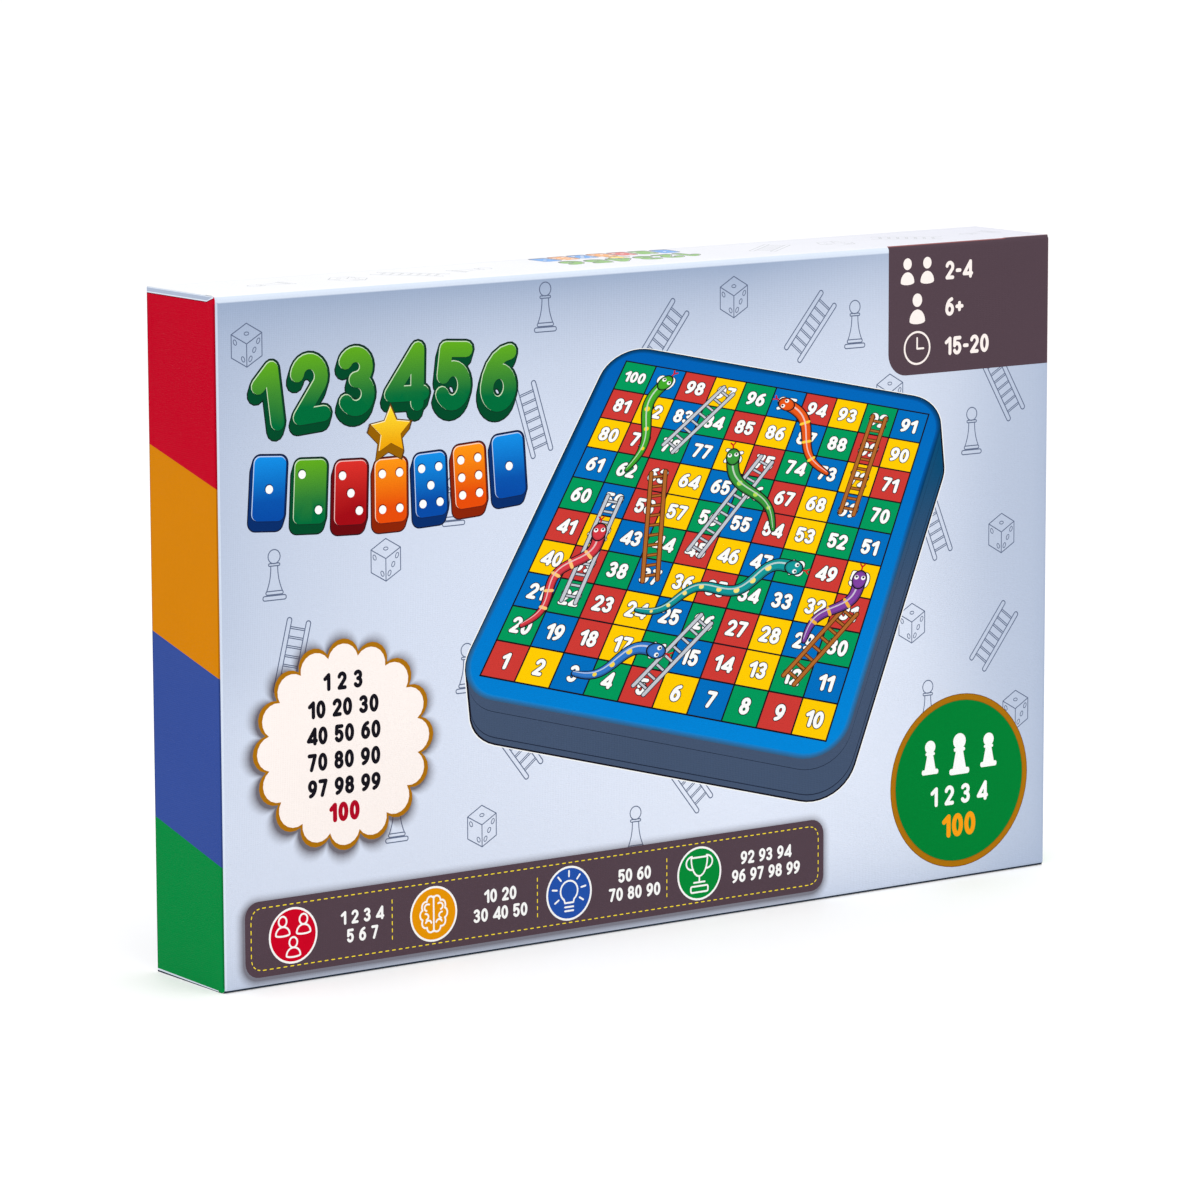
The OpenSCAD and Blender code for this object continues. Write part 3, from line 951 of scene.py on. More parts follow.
def block_numeral(sheet, sign, cx, cy, height, inks, turn=0, place=None):
    t = 0.25
    left = -sign_width(sign) / 2
    lines = [[((left + px) * height * TITLE_STRETCH, (py - 0.5) * height) for px, py in line]
             for line in glyph_strokes(sign, t)]

    def shapes(grow, dx, dy):
        width = t * height + 2 * grow
        return [stroke(moved(line, cx + dx, cy + dy, 1, turn), width) for line in lines]
    block_sign(sheet, shapes, cy - height / 2, height, inks, place)


TILE_HALF = (7.3, 12.2)


def block_tile(sheet, count, cx, cy, inks, turn=0, place=None):
    """A rounded tile with pips, like half of a domino."""
    def shapes(grow, dx, dy):
        a, b = TILE_HALF[0] + grow, TILE_HALF[1] + grow
        return [moved(rounded_box(-a, -b, a, b, 3 + grow), cx + dx, cy + dy, 1, turn)]
    block_sign(sheet, shapes, cy - TILE_HALF[1], 2 * TILE_HALF[1], inks, place)
    for px, py in PIPS[count]:
        x, y = moved([(px * 3.8, py * 6.6)], cx, cy, 1, turn)[0]
        sheet.fill(ellipse(x, y, 1.85, steps=20), inks[2], place)
        sheet.fill(ellipse(x + 0.12, y - 0.2, 1.6, steps=20), WHITE, place)


def draw_title(sheet, place=None):
    """A row of green numerals over a row of coloured tiles with pips, and a star between."""
    x, height = TITLE_X0, 26.5
    for i, sign in enumerate("123456"):
        wide = sign_width(sign) * height * TITLE_STRETCH
        rise = 4.5 * math.sin(math.pi * (i + 0.5) / 6)
        block_numeral(sheet, sign, x + wide / 2, 216.8 + rise, height, GREEN, 7 - 2.8 * i, place)
        x += wide + 2.6
    for i, (inks, count, turn) in enumerate(TITLE_TILES):
        dip = 5 * math.sin(math.pi * i / 6)
        block_tile(sheet, count, TITLE_X0 + 6.5 + 17.6 * i, 184.6 - dip, inks, turn, place)

    def star(grow, dx, dy):
        return [star_shape(75 + dx, 201.8 + dy, 19 + 2.7 * grow, inner=0.5)]
    block_sign(sheet, star, 193, 16, YELLOW, place)


ICON_PLACES = {
    outline_die: ((13.3, 238), (232.5, 241.5), (72.3, 154.5), (114.3, 49.5), (308.8, 198.5),
                  (366, 138.5), (320.5, 106.5), (374, 66)),
    outline_pawn: ((144.5, 243), (291.3, 226.8), (23.8, 153), (350.3, 180.5), (102.5, 173.5),
                   (328.8, 73), (185.5, 39), (108, 110), (76, 57)),
}
LADDER_PLACES = ((198.8, 228.5, -38), (269.5, 227.3, -40), (138.8, 201, 17), (366.3, 197.3, 30),
                 (331, 144.8, 22), (362.5, 96.8, -38), (31, 122, -14), (130, 78.5, 38),
                 (210, 56, 38))


DIE_SIZE, PAWN_SIZE, LADDER_SIZE = 15, 18.5, 28


def draw_icons(sheet, places, ladders, die_size, pawn_size, ladder_size):
    """Line pictures of dice, pawns and ladders."""
    for shape, spots in places.items():
        for x, y in spots:
            sheet.fills_of(shape(x, y, die_size if shape is outline_die else pawn_size), LINE_GREY)
    for x, y, turn in ladders:
        sheet.fills_of(outline_ladder(x, y, ladder_size, turn), LINE_GREY)


def scallops(cx, cy, radius, count=16):
    """A round badge outline with bulging edges, whose arcs meet halfway between their centres."""
    half = math.pi / count
    bulge = radius * math.sin(half) * 0.9
    ring = radius - bulge
    meet = ring * math.cos(half) + math.sqrt(bulge ** 2 - (ring * math.sin(half)) ** 2)
    spread = math.degrees(math.atan2(meet * math.sin(half), meet * math.cos(half) - ring))
    points = []
    for i in range(count):
        a = 360 * i / count
        centre = (cx + ring * math.cos(math.radians(a)), cy + ring * math.sin(math.radians(a)))
        points += arc(*centre, bulge, bulge, a - spread, a + spread, 8)[:-1]
    return points


def draw_scalloped_badge(sheet):
    cx, cy, radius = 53.1, 87, 39.6
    soft_shadow(sheet, lambda g: scallops(cx - 0.8, cy - 0.8, radius + g), 5.5, 0.85)
    sheet.fill(scallops(cx, cy, radius), GOLD)
    sheet.fill(scallops(cx, cy, radius - 1.9), CREAM)
    for i, text in enumerate(("1 2 3", "10 20 30", "40 50 60", "70 80 90", "97 98 99")):
        write(sheet, text, cx, cy + 24 - 9.8 * i, 6.8, INK, 0.23)
    write(sheet, "100", cx, cy - 25, 7.4, rgb(176, 8, 36), 0.25)


def draw_round_badge(sheet):
    cx, cy, radius = 345.2, 40, 35
    for size, ink in ((radius + 0.15, GOLD_DARK), (radius - 0.15, GOLD), (radius - 2.3, GOLD_DARK),
                      (radius - 2.5, rgb(0, 128, 52))):
        sheet.fill(ellipse(cx, cy, size, steps=64), ink)
    for i, x in enumerate((-15, 0, 15)):
        sheet.fills_of(pawn_shape(cx + x, cy + 11, 17 if i == 1 else 14), WHITE)
    write(sheet, "1 2 3 4", cx, cy - 5.5, 8, WHITE, 0.2)
    write(sheet, "100", cx, cy - 18, 9.5, rgb(248, 160, 20), 0.22)


LABEL_LOW = 204.8


def draw_label(sheet):
    """The dark label in the top right corner, with a painted highlight along the crease where it
    laps over the top.
    """
    x0, r = 308, 9
    corner = arc(x0 + r, LABEL_LOW + r, r, r, 180, 270, 8)
    lap = [(W, H + 2.2), (368, H + 2.2), (366.5, H + 1.2)]
    sheet.fill(corner + [(W, LABEL_LOW)] + lap + [(x0, H + 1.2)], SLATE_BROWN)
    # A painted highlight along the label's top crease.
    highlight_strip = [(x0, H + 1.2), (x0, H + 0.3), (366.9, H + 0.3), (368.4, H + 1.3), (W, H + 1.3)]
    sheet.fill(highlight_strip + lap, HIGHLIGHT_BROWN)
    for x, z, size in ((317.4, 245.5, 11), (327.3, 245.5, 11), (322.4, 230.6, 12.6)):
        sheet.fills_of(person_shape(x, z, size), CREAM)
    sheet.fills_of(loop(322.4, 215.3, 6.3, 6.3, 0.8, 16), CREAM)
    sheet.fills_of(polyline([(322.4, 219.2), (322.4, 215), (325.6, 215)], 0.75), CREAM)
    for text, z in (("2-4", 245), ("6+", 230.6), ("15-20", 215)):
        width = 7.3 * line_width(text, 0.1)
        write(sheet, text, 336.5 + width / 2, z, 7.3, CREAM, 0.2, gap=0.1)


def dashes(sheet, points, ink, dash=1.35, gap=1.65, width=0.38):
    """A stitched line along a path of straight stretches."""
    for (x0, y0), (x1, y1) in zip(points, points[1:]):
        length = math.hypot(x1 - x0, y1 - y0)
        count = max(1, round(length / (dash + gap)))
        for i in range(count):
            a = (i + 0.5 * gap / (dash + gap)) / count
            b = a + dash / (dash + gap) / count
            ends = [(x0 + (x1 - x0) * s, y0 + (y1 - y0) * s) for s in (a, b)]
            sheet.fill(stroke(ends, width, 3), ink)


def three_people():
    made = []
    for x, y in ((-4.2, 3.6), (4.2, 3.6), (0, -4)):
        made += [closed(ellipse(x, y + 1.6, 1.6, 1.8, 24)),
                 arc(x, y - 2.9, 2.8, 2.7, 0, 180) + arc(x, y - 2.9, 2.8, 0.6, 180, 360)[1:]]
    return made


def brain():
    """Two lobed halves and their folds."""
    outline = [(0.86 * x, y) for x, y in scallops(0, 0, 6.6, 10)]
    folds = (arc(2.5, 2.5, 1.3, 1.2, 120, -70), arc(3.5, -0.7, 1.3, 1.1, 90, 250),
             arc(2.2, -3.2, 1.2, 1.1, 170, 20))
    return [closed(outline), [(0, 6.2), (0, -6.2)]] + [[(s * x, y) for x, y in fold]
                                                       for fold in folds for s in (-1, 1)]


def die_face():
    pips = [arc(x * 3, y * 3, 0.5, 0.5, 0, 300) for x, y in PIPS[5]]
    return [closed(rounded_box(-6, -6, 6, 6, 2))] + pips


def light_bulb():
    rays = [[(r * math.cos(a), 0.8 + r * math.sin(a)) for r in (5.3, 7.2)]
            for a in (math.radians(-32 + 40.7 * i) for i in range(7))]
    base = [[(-1.8, y), (1.8, y)] for y in (-3.4, -4.9, -6.3)]
    return rays + base + [[(-1.8, -3.4)] + arc(0, 0.8, 3.7, 3.7, 235, -55) + [(1.8, -3.4)]]


def trophy():
    handles = [arc(s * 3.2, 4, 2.6, 2.4, 90, 90 - s * 190) for s in (-1, 1)]
    cup = arc(0, 5.6, 3.6, 6.6, 180, 360)
    stand = [[(0, -1.2), (0, -3.2)], [(-2.4, -3.2), (2.4, -3.2)]]
    foot = closed(rounded_box(-3.8, -6.8, 3.8, -4.6, 0.6))
    return handles + [cup, [(-3.6, 5.9), (3.6, 5.9)], foot] + stand


BAR_SPOTS = (
    (30, 18.2, rgb(206, 4, 36), three_people, ("1 2 3 4", "5 6 7"), 60.4),
    (92.2, 18.2, rgb(232, 150, 4), brain, ("10 20", "30 40 50"), 122.5),
    (154.2, 18.2, rgb(36, 82, 170), light_bulb, ("50 60", "70 80 90"), 185),
    (215.9, 18.2, rgb(4, 138, 56), trophy, ("92 93 94", "96 97 98 99"), 248.3),
)


BAR_R = 6


def stitched_bar(sheet, box, shadow, stitch):
    """A dark bar with round corners. shadow gives its shadow's shift, reach and strength, and
    stitch the stitched line's inset, corner radius and corner steps."""
    x0, z0, x1, z1 = box
    left, down, reach, amount = shadow
    inset, stitch_r, steps = stitch

    def grown(g):
        return rounded_box(x0 - left - g, z0 - down - g, x1 - left + g, z1 - down + g, BAR_R + g)

    soft_shadow(sheet, grown, reach, amount)
    sheet.fill(rounded_box(x0, z0, x1, z1, BAR_R), SLATE_BROWN)
    edge = rounded_box(x0 + inset, z0 + inset, x1 - inset, z1 - inset, stitch_r, steps)
    dashes(sheet, closed(edge), STITCH)


def rimmed_disc(sheet, x, z, ink):
    """A coloured disc with a white rim."""
    sheet.fill(ellipse(x, z, 10.6, steps=40), WHITE)
    sheet.fill(ellipse(x, z, 9.8, steps=40), ink)


def draw_pictogram(sheet, picture, x, z, scale):
    """A white line picture, stroked stretch by stretch, so that its lines may turn sharply."""
    for line in picture():
        path = moved(line, x, z, scale)
        sheet.strokes(zip(path, path[1:]), 0.7, WHITE, cap=4)


def draw_bar(sheet):
    """The dark bar along the bottom: four round pictograms, numbers and a stitched border."""
    low, high = 4.2, 32.7
    stitched_bar(sheet, (9.2, low, 276.6, high), (0.6, 0.8, 4, 0.75), (2.6, 4.2, 3))
    for x in (73.6, 139.5, 200.3):
        dashes(sheet, [(x, low + 6), (x, high - 6)], STITCH)
    for x, z, ink, picture, rows, text_x in BAR_SPOTS:
        rimmed_disc(sheet, x, z, ink)
        draw_pictogram(sheet, picture, x, z, 1.08)
        for text, row_z in zip(rows, (21.8, 14.8)):
            write(sheet, text, text_x, row_z, 5.2, WHITE, 0.2)


BAND_INKS = (BAND_GREEN, BAND_BLUE, BAND_ORANGE, BAND_RED)
# Heights of the end panel's band edges at the front edge, and their rise to the back
BAND_EDGES = (47.0, 116.7, 186.0)
BAND_RISE = 12.0


def draw_bands(sheet, x_front, x_back, z0, z1):
    """Four diagonal bands of colour up an end panel, higher at its back edge."""
    edges = (z0 - 20,) + BAND_EDGES + (z1 + 20,)
    for low, high, ink in zip(edges, edges[1:], BAND_INKS):
        sheet.fill([(x_front, low), (x_back, low + BAND_RISE), (x_back, high + BAND_RISE),
                    (x_front, high)], ink)


def draw_top_flap(sheet):
    """The top carries a small title that reads from behind, and a few pictures, all paled towards
    white as a painted sheen.
    """
    sheet.wash = 0.24
    draw_title(sheet, lambda x, z: (239 - 0.535 * x, H + 45.5 - 0.46 * (z - 167)))
    sheet.wash = 0.55
    for shape, x, turn in ((outline_pawn, 38, 96), (outline_die, 72, 20), (outline_pawn, 128, -80),
                           (outline_die, 300, 35), (outline_pawn, 372, 100)):
        size = DIE_SIZE if shape is outline_die else PAWN_SIZE
        sheet.fills_of([moved(line, x, H + 24, 1, turn) for line in shape(0, 0, size)], LINE_GREY)
    for x, turn in ((100, 40), (268, -50), (336, 55)):
        sheet.fills_of(outline_ladder(x, H + 24, LADDER_SIZE, turn), LINE_GREY)
    sheet.wash = 0


def draw_edges(sheet):
    """The strips along the end panel's top and bottom, with painted highlights and painted shade
    at their edges, and painted shade and highlights along the creases.
    """
    pale = [(-D, H - LIP), (-5.4, H - LIP), (-0.6, H - 0.6), (-0.6, H), (-D, H)]
    inner = [(-D, H - LIP + 0.45), (-5.2, H - LIP + 0.45), (-1.6, H - 0.5), (-D, H - 0.5)]
    # A painted shadow line under the pale strip at the top.
    sheet.fill([(x, z - 0.3) for x, z in pale], BAND_SHADE)
    # Painted highlights at the strip's edges; its middle is the printed blue-grey.
    sheet.fill(pale, CREASE_HIGHLIGHT)
    sheet.fill(inner, rgb(184, 197, 220))
    # A painted highlight along the end panel's bottom edge, with a painted shade line under it.
    sheet.fill([(-D, 0), (-4, 0), (-4, 0.7), (-D, 1.4)], CREASE_HIGHLIGHT)
    sheet.fill([(-D, 0), (-2, 0), (-2, 0.3), (-D, 0.7)], CREASE_SHADE)
    # A painted contact shadow along the front's bottom crease.
    sheet.fill(box_outline(0, -2.5, W, 0.8), CREASE_SHADE)
    # Painted shade on the end panel beside the front crease.
    sheet.fill(box_outline(-0.9, 2, 0, H - 3), shadow_ink(0.4, INK))
    # A painted highlight down the front's left crease.
    sheet.fill(box_outline(0, 1, 1.1, H - 2.4), shadow_ink(0.55, CREASE_HIGHLIGHT))
    # Painted shade down the end panel's back edge.
    sheet.fill(box_outline(-D, 2, -D + 0.5, H - LIP), shadow_ink(0.35, INK))


def cover_ground(x, z):
    """The pale blue of the cover, partly a printed gradient and partly painted light: a painted
    pool of light low in the middle, painted shade towards the top, the left and right edges and
    along the bottom, and a painted highlight along the top crease. The flaps at the top are whiter
    as painted top light.
    """
    if z > H:
        # Painted top light: the top flaps whiter than the front.
        return mix(FLAP_LIT_WHITE, FLAP_LIT_BLUE, (x - 100) / 290)
    x, z = max(x, 0), max(z, 0)
    # Painted light: brighter low in the middle.
    tone = 0.86 + 0.16 * math.exp(-((x - 240) / 90) ** 2 - ((z - 50) / 60) ** 2)
    # Painted shade below the top crease, weaker towards the right.
    tone *= 1 - (1.1 - 0.22 * min(max((x - 240) / 60, 0), 1)) * math.exp((z - H) / 28)
    # Painted shade towards the right edge.
    right_edge = 340 + 12 * max(1 - z / 150, (z - 150) / 60, 0)
    tone *= 1 - 0.6 / (1 + math.exp((right_edge - x) / 12)) - 0.15 * math.exp((x - W) / 5)
    # Painted shade towards the left edge, more in its upper half, and near the floor along the
    # bottom.
    left_share = 0.12 + 0.42 / (1 + math.exp((105 - z) / 12))
    tone *= (1 - left_share * math.exp(-x / 70)) * (1 - 0.42 * math.exp(-z / 12))
    colour = mix(SKY_DEEP, SKY_PALE, tone)
    # Painted highlight along the top crease.
    return mix(colour, CREASE_HIGHLIGHT, 0.8) if z > H - 2.4 else colour


def cover_art():
    """The cover's printed sheet, cut and laid out flat."""
    regions = [
        box_outline(0, 0, W - CREASE_R, H),
        box_outline(W - CREASE_R, TRAY_HIGH, W, H), box_outline(W - CREASE_R, 0, W, TRAY_LOW),
        [(-D, PAPER), (0, PAPER), (0, H), (-NOTCH, H), (-NOTCH, H - PAPER), (-D, H - PAPER)],
        box_outline(0, H, W, H + D),
        box_outline(0, -D, W, 0),
    ]
    xs = CREASE_CUTS + [20 * i for i in range(1, 20)]
    xs += [-30, -15, 6, 12, W - 35, W - 25, W - 16, W - 8]
    zs = CREASE_CUTS + [H + s for s in CREASE_CUTS] + [20 * i for i in range(1, 13)]
    zs += [5, 11, H - 2.3, H - 2.8, H - 7, H - 13, H - 27]
    xs += [W - CREASE_R + 0.3 * i for i in range(6)]
    sheet = Sheet(cover_ground, regions, grid_lines(-D, W, -D, H + D, xs, zs))
    draw_icons(sheet, ICON_PLACES, LADDER_PLACES, DIE_SIZE, PAWN_SIZE, LADDER_SIZE)
    draw_pictured_board(sheet)
    draw_title(sheet)
    draw_scalloped_badge(sheet)
    draw_round_badge(sheet)
    draw_bar(sheet)
    draw_label(sheet)
    draw_top_flap(sheet)
    draw_bands(sheet, 0, -D, 0, H)
    draw_edges(sheet)
    return sheet


def plain_ground(x, z):
    return mix(SKY_PALE, SKY, z / H)


def tray_art():
    """The sheet round the tray's back and spine. Its x runs across the back from the spine."""
    spine_x = -(D - CREASE_R)
    back_x = RIGHT - TRAY_LEFT
    xs = CREASE_CUTS + [20 * i for i in range(1, 20)] + [-15, -30]
    zs = [20 * i for i in range(1, 13)]
    sheet = Sheet(plain_ground, [box_outline(spine_x, TRAY_LOW, back_x, TRAY_HIGH)],
                  grid_lines(spine_x, back_x, TRAY_LOW, TRAY_HIGH, xs, zs))
    places = {
        outline_die: ((40, 220), (150, 190), (262, 222), (352, 160), (90, 120), (300, 60),
                      (210, 100)),
        outline_pawn: ((96, 200), (206, 226), (320, 206), (40, 150), (246, 150), (150, 66),
                       (356, 96)),
    }
    ladders = ((60, 176, 24), (176, 140, -28), (290, 176, 20), (120, 90, 60), (330, 120, -30),
               (250, 70, 24))
    draw_icons(sheet, places, ladders, 17, 22, 30)
    x0, x1, middle = 24, back_x - 24, 29
    stitched_bar(sheet, (x0, 14, x1, 44), (0, 0, 3.5, 0.6), (2.4, 4.8, 1))
    inks = (rgb(216, 14, 38), rgb(238, 158, 14), rgb(44, 84, 180), rgb(18, 142, 60))
    for i, ink in enumerate(inks):
        x = x0 + (x1 - x0) * (i + 0.5) / 4
        rimmed_disc(sheet, x - 18, middle, ink)
        sheet.fills_of(pawn_shape(x - 18, middle, 13), WHITE)
        write(sheet, str(i + 1), x + 14, middle, 11, WHITE, 0.24)
    draw_bands(sheet, -D, 0, 0, H)
    return sheet


def hinge_art():
    """The strip of the printed sheet that bends at the hinge."""
    x0, x1 = W - CREASE_R, W + CREASE_R
    xs = [x0 + (x1 - x0) * i / 12 for i in range(1, 12)]
    sheet = Sheet(cover_ground, [box_outline(x0, TRAY_LOW, x1, TRAY_HIGH)],
                  grid_lines(x0, x1, TRAY_LOW, TRAY_HIGH, xs, []))
    sheet.fill(box_outline(x0, LABEL_LOW, W, H + 1), SLATE_BROWN)
    # A painted highlight down the label's edge at the crease.
    sheet.fill(box_outline(W - 0.45, LABEL_LOW, W, H + 1), HIGHLIGHT_BROWN)
    draw_bands(sheet, W, W + D, 0, H)
    return sheet


def playing_art():
    """The sheet on the real board: the squares with a thin dark border."""
    low, high = node_box("playing_sheet")
    size = high[0] - low[0]
    border = 1.2
    cell = (size - 2 * border) / 10
    sheet = Sheet(lambda x, y: INK, [rounded_box(0, 0, size, size, 2)])
    draw_playing_face(sheet, lambda u, v: (border + u * cell, border + v * cell))

    def place(x, y, depth):
        return (low[0] + x, low[1] + depth, low[2] + y)
    return sheet, place, high[1] - low[1]


# Card bodies


def card_piece(name, columns, rows, keep, fold, depths, material):
    """A folded panel of card: a grid of flat cells bent by fold, with real thickness."""
    cells = []
    for i in range(len(columns) - 1):
        for j in range(len(rows) - 1):
            cx = (columns[i] + columns[i + 1]) / 2
            cz = (rows[j] + rows[j + 1]) / 2
            if keep(cx, cz):
                cells.append((i, j))
    index, points = {}, []
    faces = []
    for i, j in cells:
        face = []
        for a, b in ((i, j), (i + 1, j), (i + 1, j + 1), (i, j + 1)):
            if (a, b) not in index:
                index[a, b] = len(points)
                points.append((columns[a], rows[b]))
            face.append(index[a, b])
        faces.append(tuple(face))
    return thick_piece(name, points, faces, fold, depths, material)


def fold_steps(*places):
    steps = [CREASE_R * (i - 6) / 6 for i in range(13)]
    return [p + s for p in places for s in steps]


def copy_of(node, name, materials, pick):
    """A copy of a CAD node's mesh as a new piece. pick(centre, normal) chooses the material."""
    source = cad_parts[node]
    mesh = source.data.copy()
    mesh.name = name
    mesh.materials.clear()
    for material in materials:
        mesh.materials.append(material)
    for face in mesh.polygons:
        face.material_index = pick(face.center / MM, face.normal)
    return add_object(name, mesh)


def dress(node, material):
    """Gives a CAD node its finish."""
    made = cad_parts[node]
    made.data.materials.clear()
    made.data.materials.append(material)


# Pieces of the carton

card_ink = printed_card("printed_card")
board_ink = printed_card("printed_playing_sheet", 0.3, 0.000006)
white_card = bare_card("white_card", rgb(218, 217, 211))
tape_paper = bare_card("tape_paper", rgb(240, 240, 236), 0.00003)

cover_print = cover_art().piece("cover_print", fold_cover, (0, PAPER), card_ink)
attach(cover_print, "cover")

cover_xs = sorted(set([-D, -24, -NOTCH, PAPER] + fold_steps(0) + fold_steps(W)[:7]
                      + [96, 195, 292]))
cover_zs = sorted(set([-D] + fold_steps(0, H) + [64, 128, 192, H - PAPER, H + NOTCH, H + D]))


def on_cover(x, z):
    """Where the cover has card. Its end flap reaches up to the top at the front corner."""
    if x < 0:
        return CARD < z < H - (PAPER if x > -NOTCH else CARD)
    return 0 < z < H or x > (CARD if H < z < H + NOTCH else PAPER)


cover_card = card_piece("cover_card", cover_xs, cover_zs, on_cover, fold_cover, (PAPER, CARD),
                        white_card)
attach(cover_card, "cover")
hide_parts("cover_front", "cover_left_wall", "cover_top_wall", "cover_bottom_wall")

tray_print = tray_art().piece("tray_print", fold_tray, (0, PAPER), card_ink)
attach(tray_print, "tray")

tray_xs = sorted(set([SPINE_FRONT - BACK, -24] + fold_steps(0)
                     + [96, 195, 292, RIGHT - TRAY_LEFT]))
tray_card = card_piece("tray_card", tray_xs, [TRAY_LOW, 64, 128, 192, TRAY_HIGH],
                       lambda x, z: True, fold_tray, (PAPER, CARD), white_card)
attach(tray_card, "tray")
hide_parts("back_panel", "spine_panel")

hinge_print = hinge_art().piece("hinge_print", fold_hinge, (0, PAPER), card_ink)
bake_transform(hinge_print)


def tape_path():
    """The tape's middle line from the cover's leaf round the inner corner to the spine's."""
    cover_low, cover_high = node_box("cover_hinge_tape")
    spine_low, spine_high = node_box("spine_hinge_tape")
    y = (cover_low[1] + cover_high[1]) / 2
    x = (spine_low[0] + spine_high[0]) / 2
    r = 0.8
    flat = [(cover_low[0] + (x - r - cover_low[0]) * i / 8, y) for i in range(8)]
    end = [(x, y + r + (spine_high[1] - y - r) * i / 8) for i in range(1, 9)]
    return flat + arc(x - r, y + r, r, r, -90, 0, 14) + end, cover_low[2], cover_high[2]


def hinge_tape():
    """Paper tape across the hinge's inner side, in one piece bent round the inner corner."""
    path, z0, z1 = tape_path()
    half = 0.12
    outline = []
    for side in (half, -half):
        run = np.array(path)
        along = np.gradient(run, axis=0)
        along /= np.linalg.norm(along, axis=1)[:, None]
        outline.append(run + np.stack([-along[:, 1], along[:, 0]], 1) * side)
    rows = [z0 + (z1 - z0) * i / 12 for i in range(13)]
    count = len(path)
    points = [(i, z) for z in rows for i in range(count)]
    faces = [(a, a + 1, a + 1 + count, a + count)
             for j in range(len(rows) - 1) for a in range(j * count, (j + 1) * count - 1)]
    return thick_piece("hinge_tape", points, faces, lambda i, z, side: (*outline[side][i], z),
                       (0, 1), tape_paper)


tape = hinge_tape()
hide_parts("cover_hinge_tape", "spine_hinge_tape")
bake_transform(tape)

for node in ("tray_left_wall", "tray_top_wall", "tray_bottom_wall"):
    dress(node, white_card)
foam = foam_material()
for node in ("foam_front_layer", "foam_middle_layer", "foam_back_layer"):
    dress(node, foam)

# Pieces of the game

slate = moulded_plastic("board_slate", rgb(58, 72, 104), 0.5, 0.00002)
rim_blue = moulded_plastic("board_blue", rgb(0, 100, 186), 0.34, 0.000008)
RIM_FRONT = node_box("board_shell")[0][1]
RIM_DEPTH = 4.2


def shell_side(centre, normal):
    """The rim's blue for what faces the front or the sides near it, and slate elsewhere."""
    return 1 if centre[1] < RIM_FRONT + RIM_DEPTH and normal[1] < 0.02 else 0


board_shell = copy_of("board_shell", "board_shell_finish", [slate, rim_blue], shell_side)
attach(board_shell, "board")
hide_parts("board_shell")

art, sheet_place, sheet_t = playing_art()
playing = art.piece("playing_print", sheet_place, (0, sheet_t), board_ink)
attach(playing, "board")
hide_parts("playing_sheet")

dress("board_base_cover", moulded_plastic("base_slate", rgb(50, 62, 90), 0.55, 0.00003))
dress("board_screws", steel_material())
dress("board_feet", rubber_material())

pawn_inks = {"red": rgb(206, 22, 26), "yellow": rgb(246, 196, 12), "green": rgb(12, 142, 68),
             "blue": rgb(18, 98, 184)}
for tint, colour in pawn_inks.items():
    dress("pawn_" + tint, moulded_plastic("gloss_" + tint, colour, 0.22, 0.000004, 0.02))

die_low, die_high = node_box("die")
die_white = moulded_plastic("die_white", rgb(243, 242, 236), 0.24, 0.000004, 0.01)
pip_black = moulded_plastic("pip_black", rgb(20, 20, 22), 0.35, 0.00001)


PIP_DEPTH = 0.62
PIP_REACH = 6.0


def die_side(centre, normal):
    """Black for the pips: just under a face, turned outwards and clear of the die's edges."""
    inset = min(min(centre[i] - die_low[i], die_high[i] - centre[i]) for i in range(3))
    off = [abs(c - (a + b) / 2) for c, a, b in zip(centre, die_low, die_high)]
    sunk = 0.03 < inset < PIP_DEPTH and max(abs(v) for v in normal) > 0.55
    return 1 if sunk and sorted(off)[1] < PIP_REACH else 0


die_piece = copy_of("die", "die_finish", [die_white, pip_black], die_side)
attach(die_piece, "game_die")
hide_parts("die")

leaflet_low, leaflet_high = node_box("rules_leaflet")
LEAF_T = 0.5
leaf_r = (leaflet_high[1] - leaflet_low[1]) / 2
leaf_w = leaflet_high[0] - leaflet_low[0] - leaf_r
leaf_h = leaflet_high[2] - leaflet_low[2]


def fold_leaflet(u, v, depth):
    """Folds the leaflet's flat sheet. u is 0 where the front leaf meets the fold."""
    x, y, z = leaflet_low[0] + leaf_r, leaflet_low[1] + leaf_r, leaflet_low[2] + v
    reach = leaf_r - depth
    if u >= 0:
        return (x + u, y - reach, z)
    turn = min(-u / leaf_r, math.pi)
    on_back = max(-u - math.pi * leaf_r, 0)
    return (x - reach * math.sin(turn) + on_back, y - reach * math.cos(turn), z)


def leaflet_art():
    """A generic leaflet: numbered steps with pictures, and plain rules in place of words."""
    bend = math.pi * leaf_r
    folds = [-bend * i / 10 for i in range(11)]
    sheet = Sheet(lambda x, y: PAPER_WHITE, [box_outline(-bend - leaf_w, 0, leaf_w, leaf_h)],
                  [((u, 0), (u, leaf_h)) for u in folds])
    top = leaf_h - 7
    sheet.fill(rounded_box(6, top - 21, leaf_w - 6, top, 4), BAND_BLUE)
    write(sheet, "123456", leaf_w / 2, top - 10.5, 11, WHITE, 0.23, gap=0.3)
    steps = ((BAND_RED, three_people), (BAND_ORANGE, die_face), (BAND_GREEN, light_bulb),
             (BAND_BLUE, trophy))
    for i, (ink, picture) in enumerate(steps):
        z = top - 37 - 25.5 * i
        sheet.fill(ellipse(17, z, 9.4, steps=40), ink)
        draw_pictogram(sheet, picture, 17, z, 0.85)
        write(sheet, str(i + 1), 33.5, z + 4.4, 8.5, INK, 0.22)
        for j, length in enumerate((52, 55, 46, 50)):
            x0, y = 41 if j == 0 else 31, z + 5 - 4.6 * j
            sheet.fill(stroke([(x0, y), (31 + length + 4 * (i % 2), y)], 1), LINE_GREY)
        x0, x1 = (6 + (leaf_w - 12) * k / 4 for k in (i, i + 1))
        sheet.fill(box_outline(x0, 5, x1, 8), ink)
    return sheet


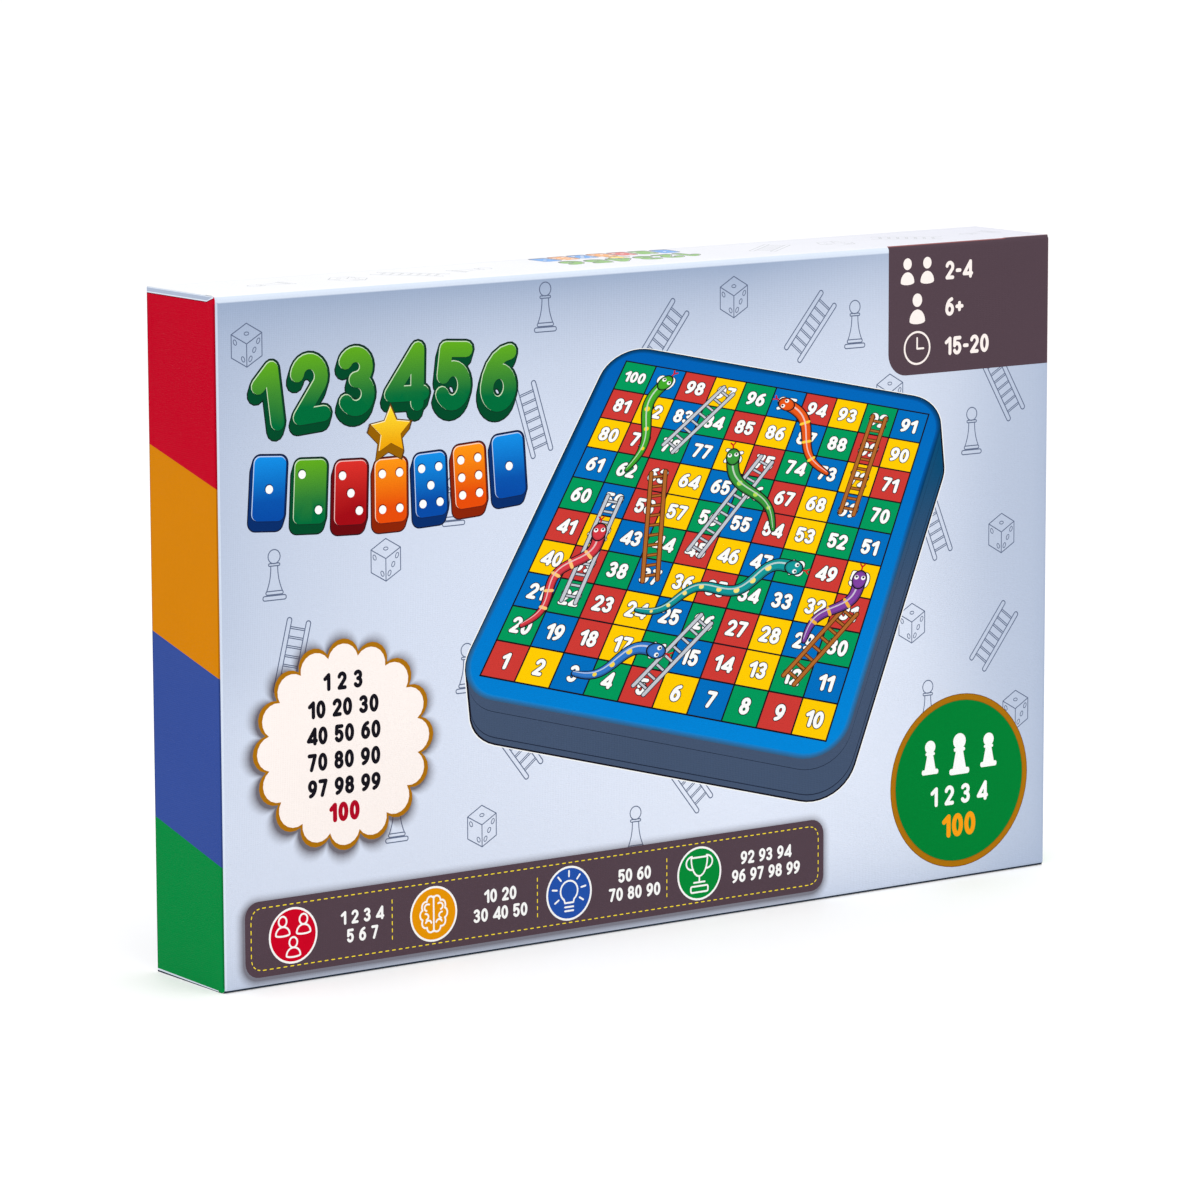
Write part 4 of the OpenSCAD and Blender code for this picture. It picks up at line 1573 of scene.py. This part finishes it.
leaflet_ink = printed_card("printed_leaflet", 0.5, 0.00001)
leaflet = leaflet_art().piece("leaflet", fold_leaflet, (0, LEAF_T), leaflet_ink)
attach(leaflet, "rules")
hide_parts("rules_leaflet")

# Floor, light and camera


def floor_and_light():
    half = 9
    mesh = bpy.data.meshes.new("floor")
    mesh.from_pydata([(-half, -half, 0), (half, -half, 0), (half, half, 0), (-half, half, 0)], [],
                     [(0, 1, 2, 3)])
    floor = add_object("floor", mesh)
    material, tree, shader = new_material("floor", 0.6, 0.2)
    tone = ramp(tree, noise(tree, 6, 2), 0.99, 1.01)
    paint(tree, shader, (0.7, 0.7, 0.7), tone)
    shader.inputs["Emission Color"].default_value = (1, 1, 1, 1)
    shader.inputs["Emission Strength"].default_value = 0.3
    mesh.materials.append(material)

    world = bpy.data.worlds.new("studio")
    world.use_nodes = True
    sky = world.node_tree.nodes["Background"]
    sky.inputs["Color"].default_value = (1, 1, 1, 1)
    sky.inputs["Strength"].default_value = 1.0
    bpy.context.scene.world = world
    bpy.context.scene.view_settings.view_transform = "Standard"

    def lamp(name, place, target, size, power):
        light = bpy.data.lights.new(name, "AREA")
        light.size = size
        light.energy = power
        made = add_object(name, light)
        made.location = place
        made.rotation_euler = (Vector(target) - Vector(place)).to_track_quat("-Z", "Y").to_euler()

    lamp("key", (-0.6, -1.4, 2.0), (0, 0, 0.1), 1.2, 3)
    lamp("top", (0.1, -0.8, 1.8), (0, 0, 0.1), 1.4, 10)


def photo_camera():
    """The camera of the photograph, solved on the carton's corners. Its picture is square."""
    focal_px, picture_px, sensor = 5555, 1200, 36
    place = Vector((-1.2332, -1.7161, 0.4617))
    yaw, pitch, roll = (math.radians(a) for a in (35.50, -9.07, -0.20))
    ahead = Vector((math.sin(yaw) * math.cos(pitch), math.cos(yaw) * math.cos(pitch),
                    math.sin(pitch)))
    camera = bpy.data.cameras.new("camera")
    camera.sensor_width = sensor
    camera.lens = focal_px / picture_px * sensor
    camera.clip_end = 50
    made = add_object("camera", camera)
    turn = ahead.to_track_quat("-Z", "Y").to_matrix().to_4x4()
    made.matrix_world = Matrix.Translation(place) @ turn @ Matrix.Rotation(roll, 4, "Z")
    bpy.context.scene.camera = made


floor_and_light()
photo_camera()
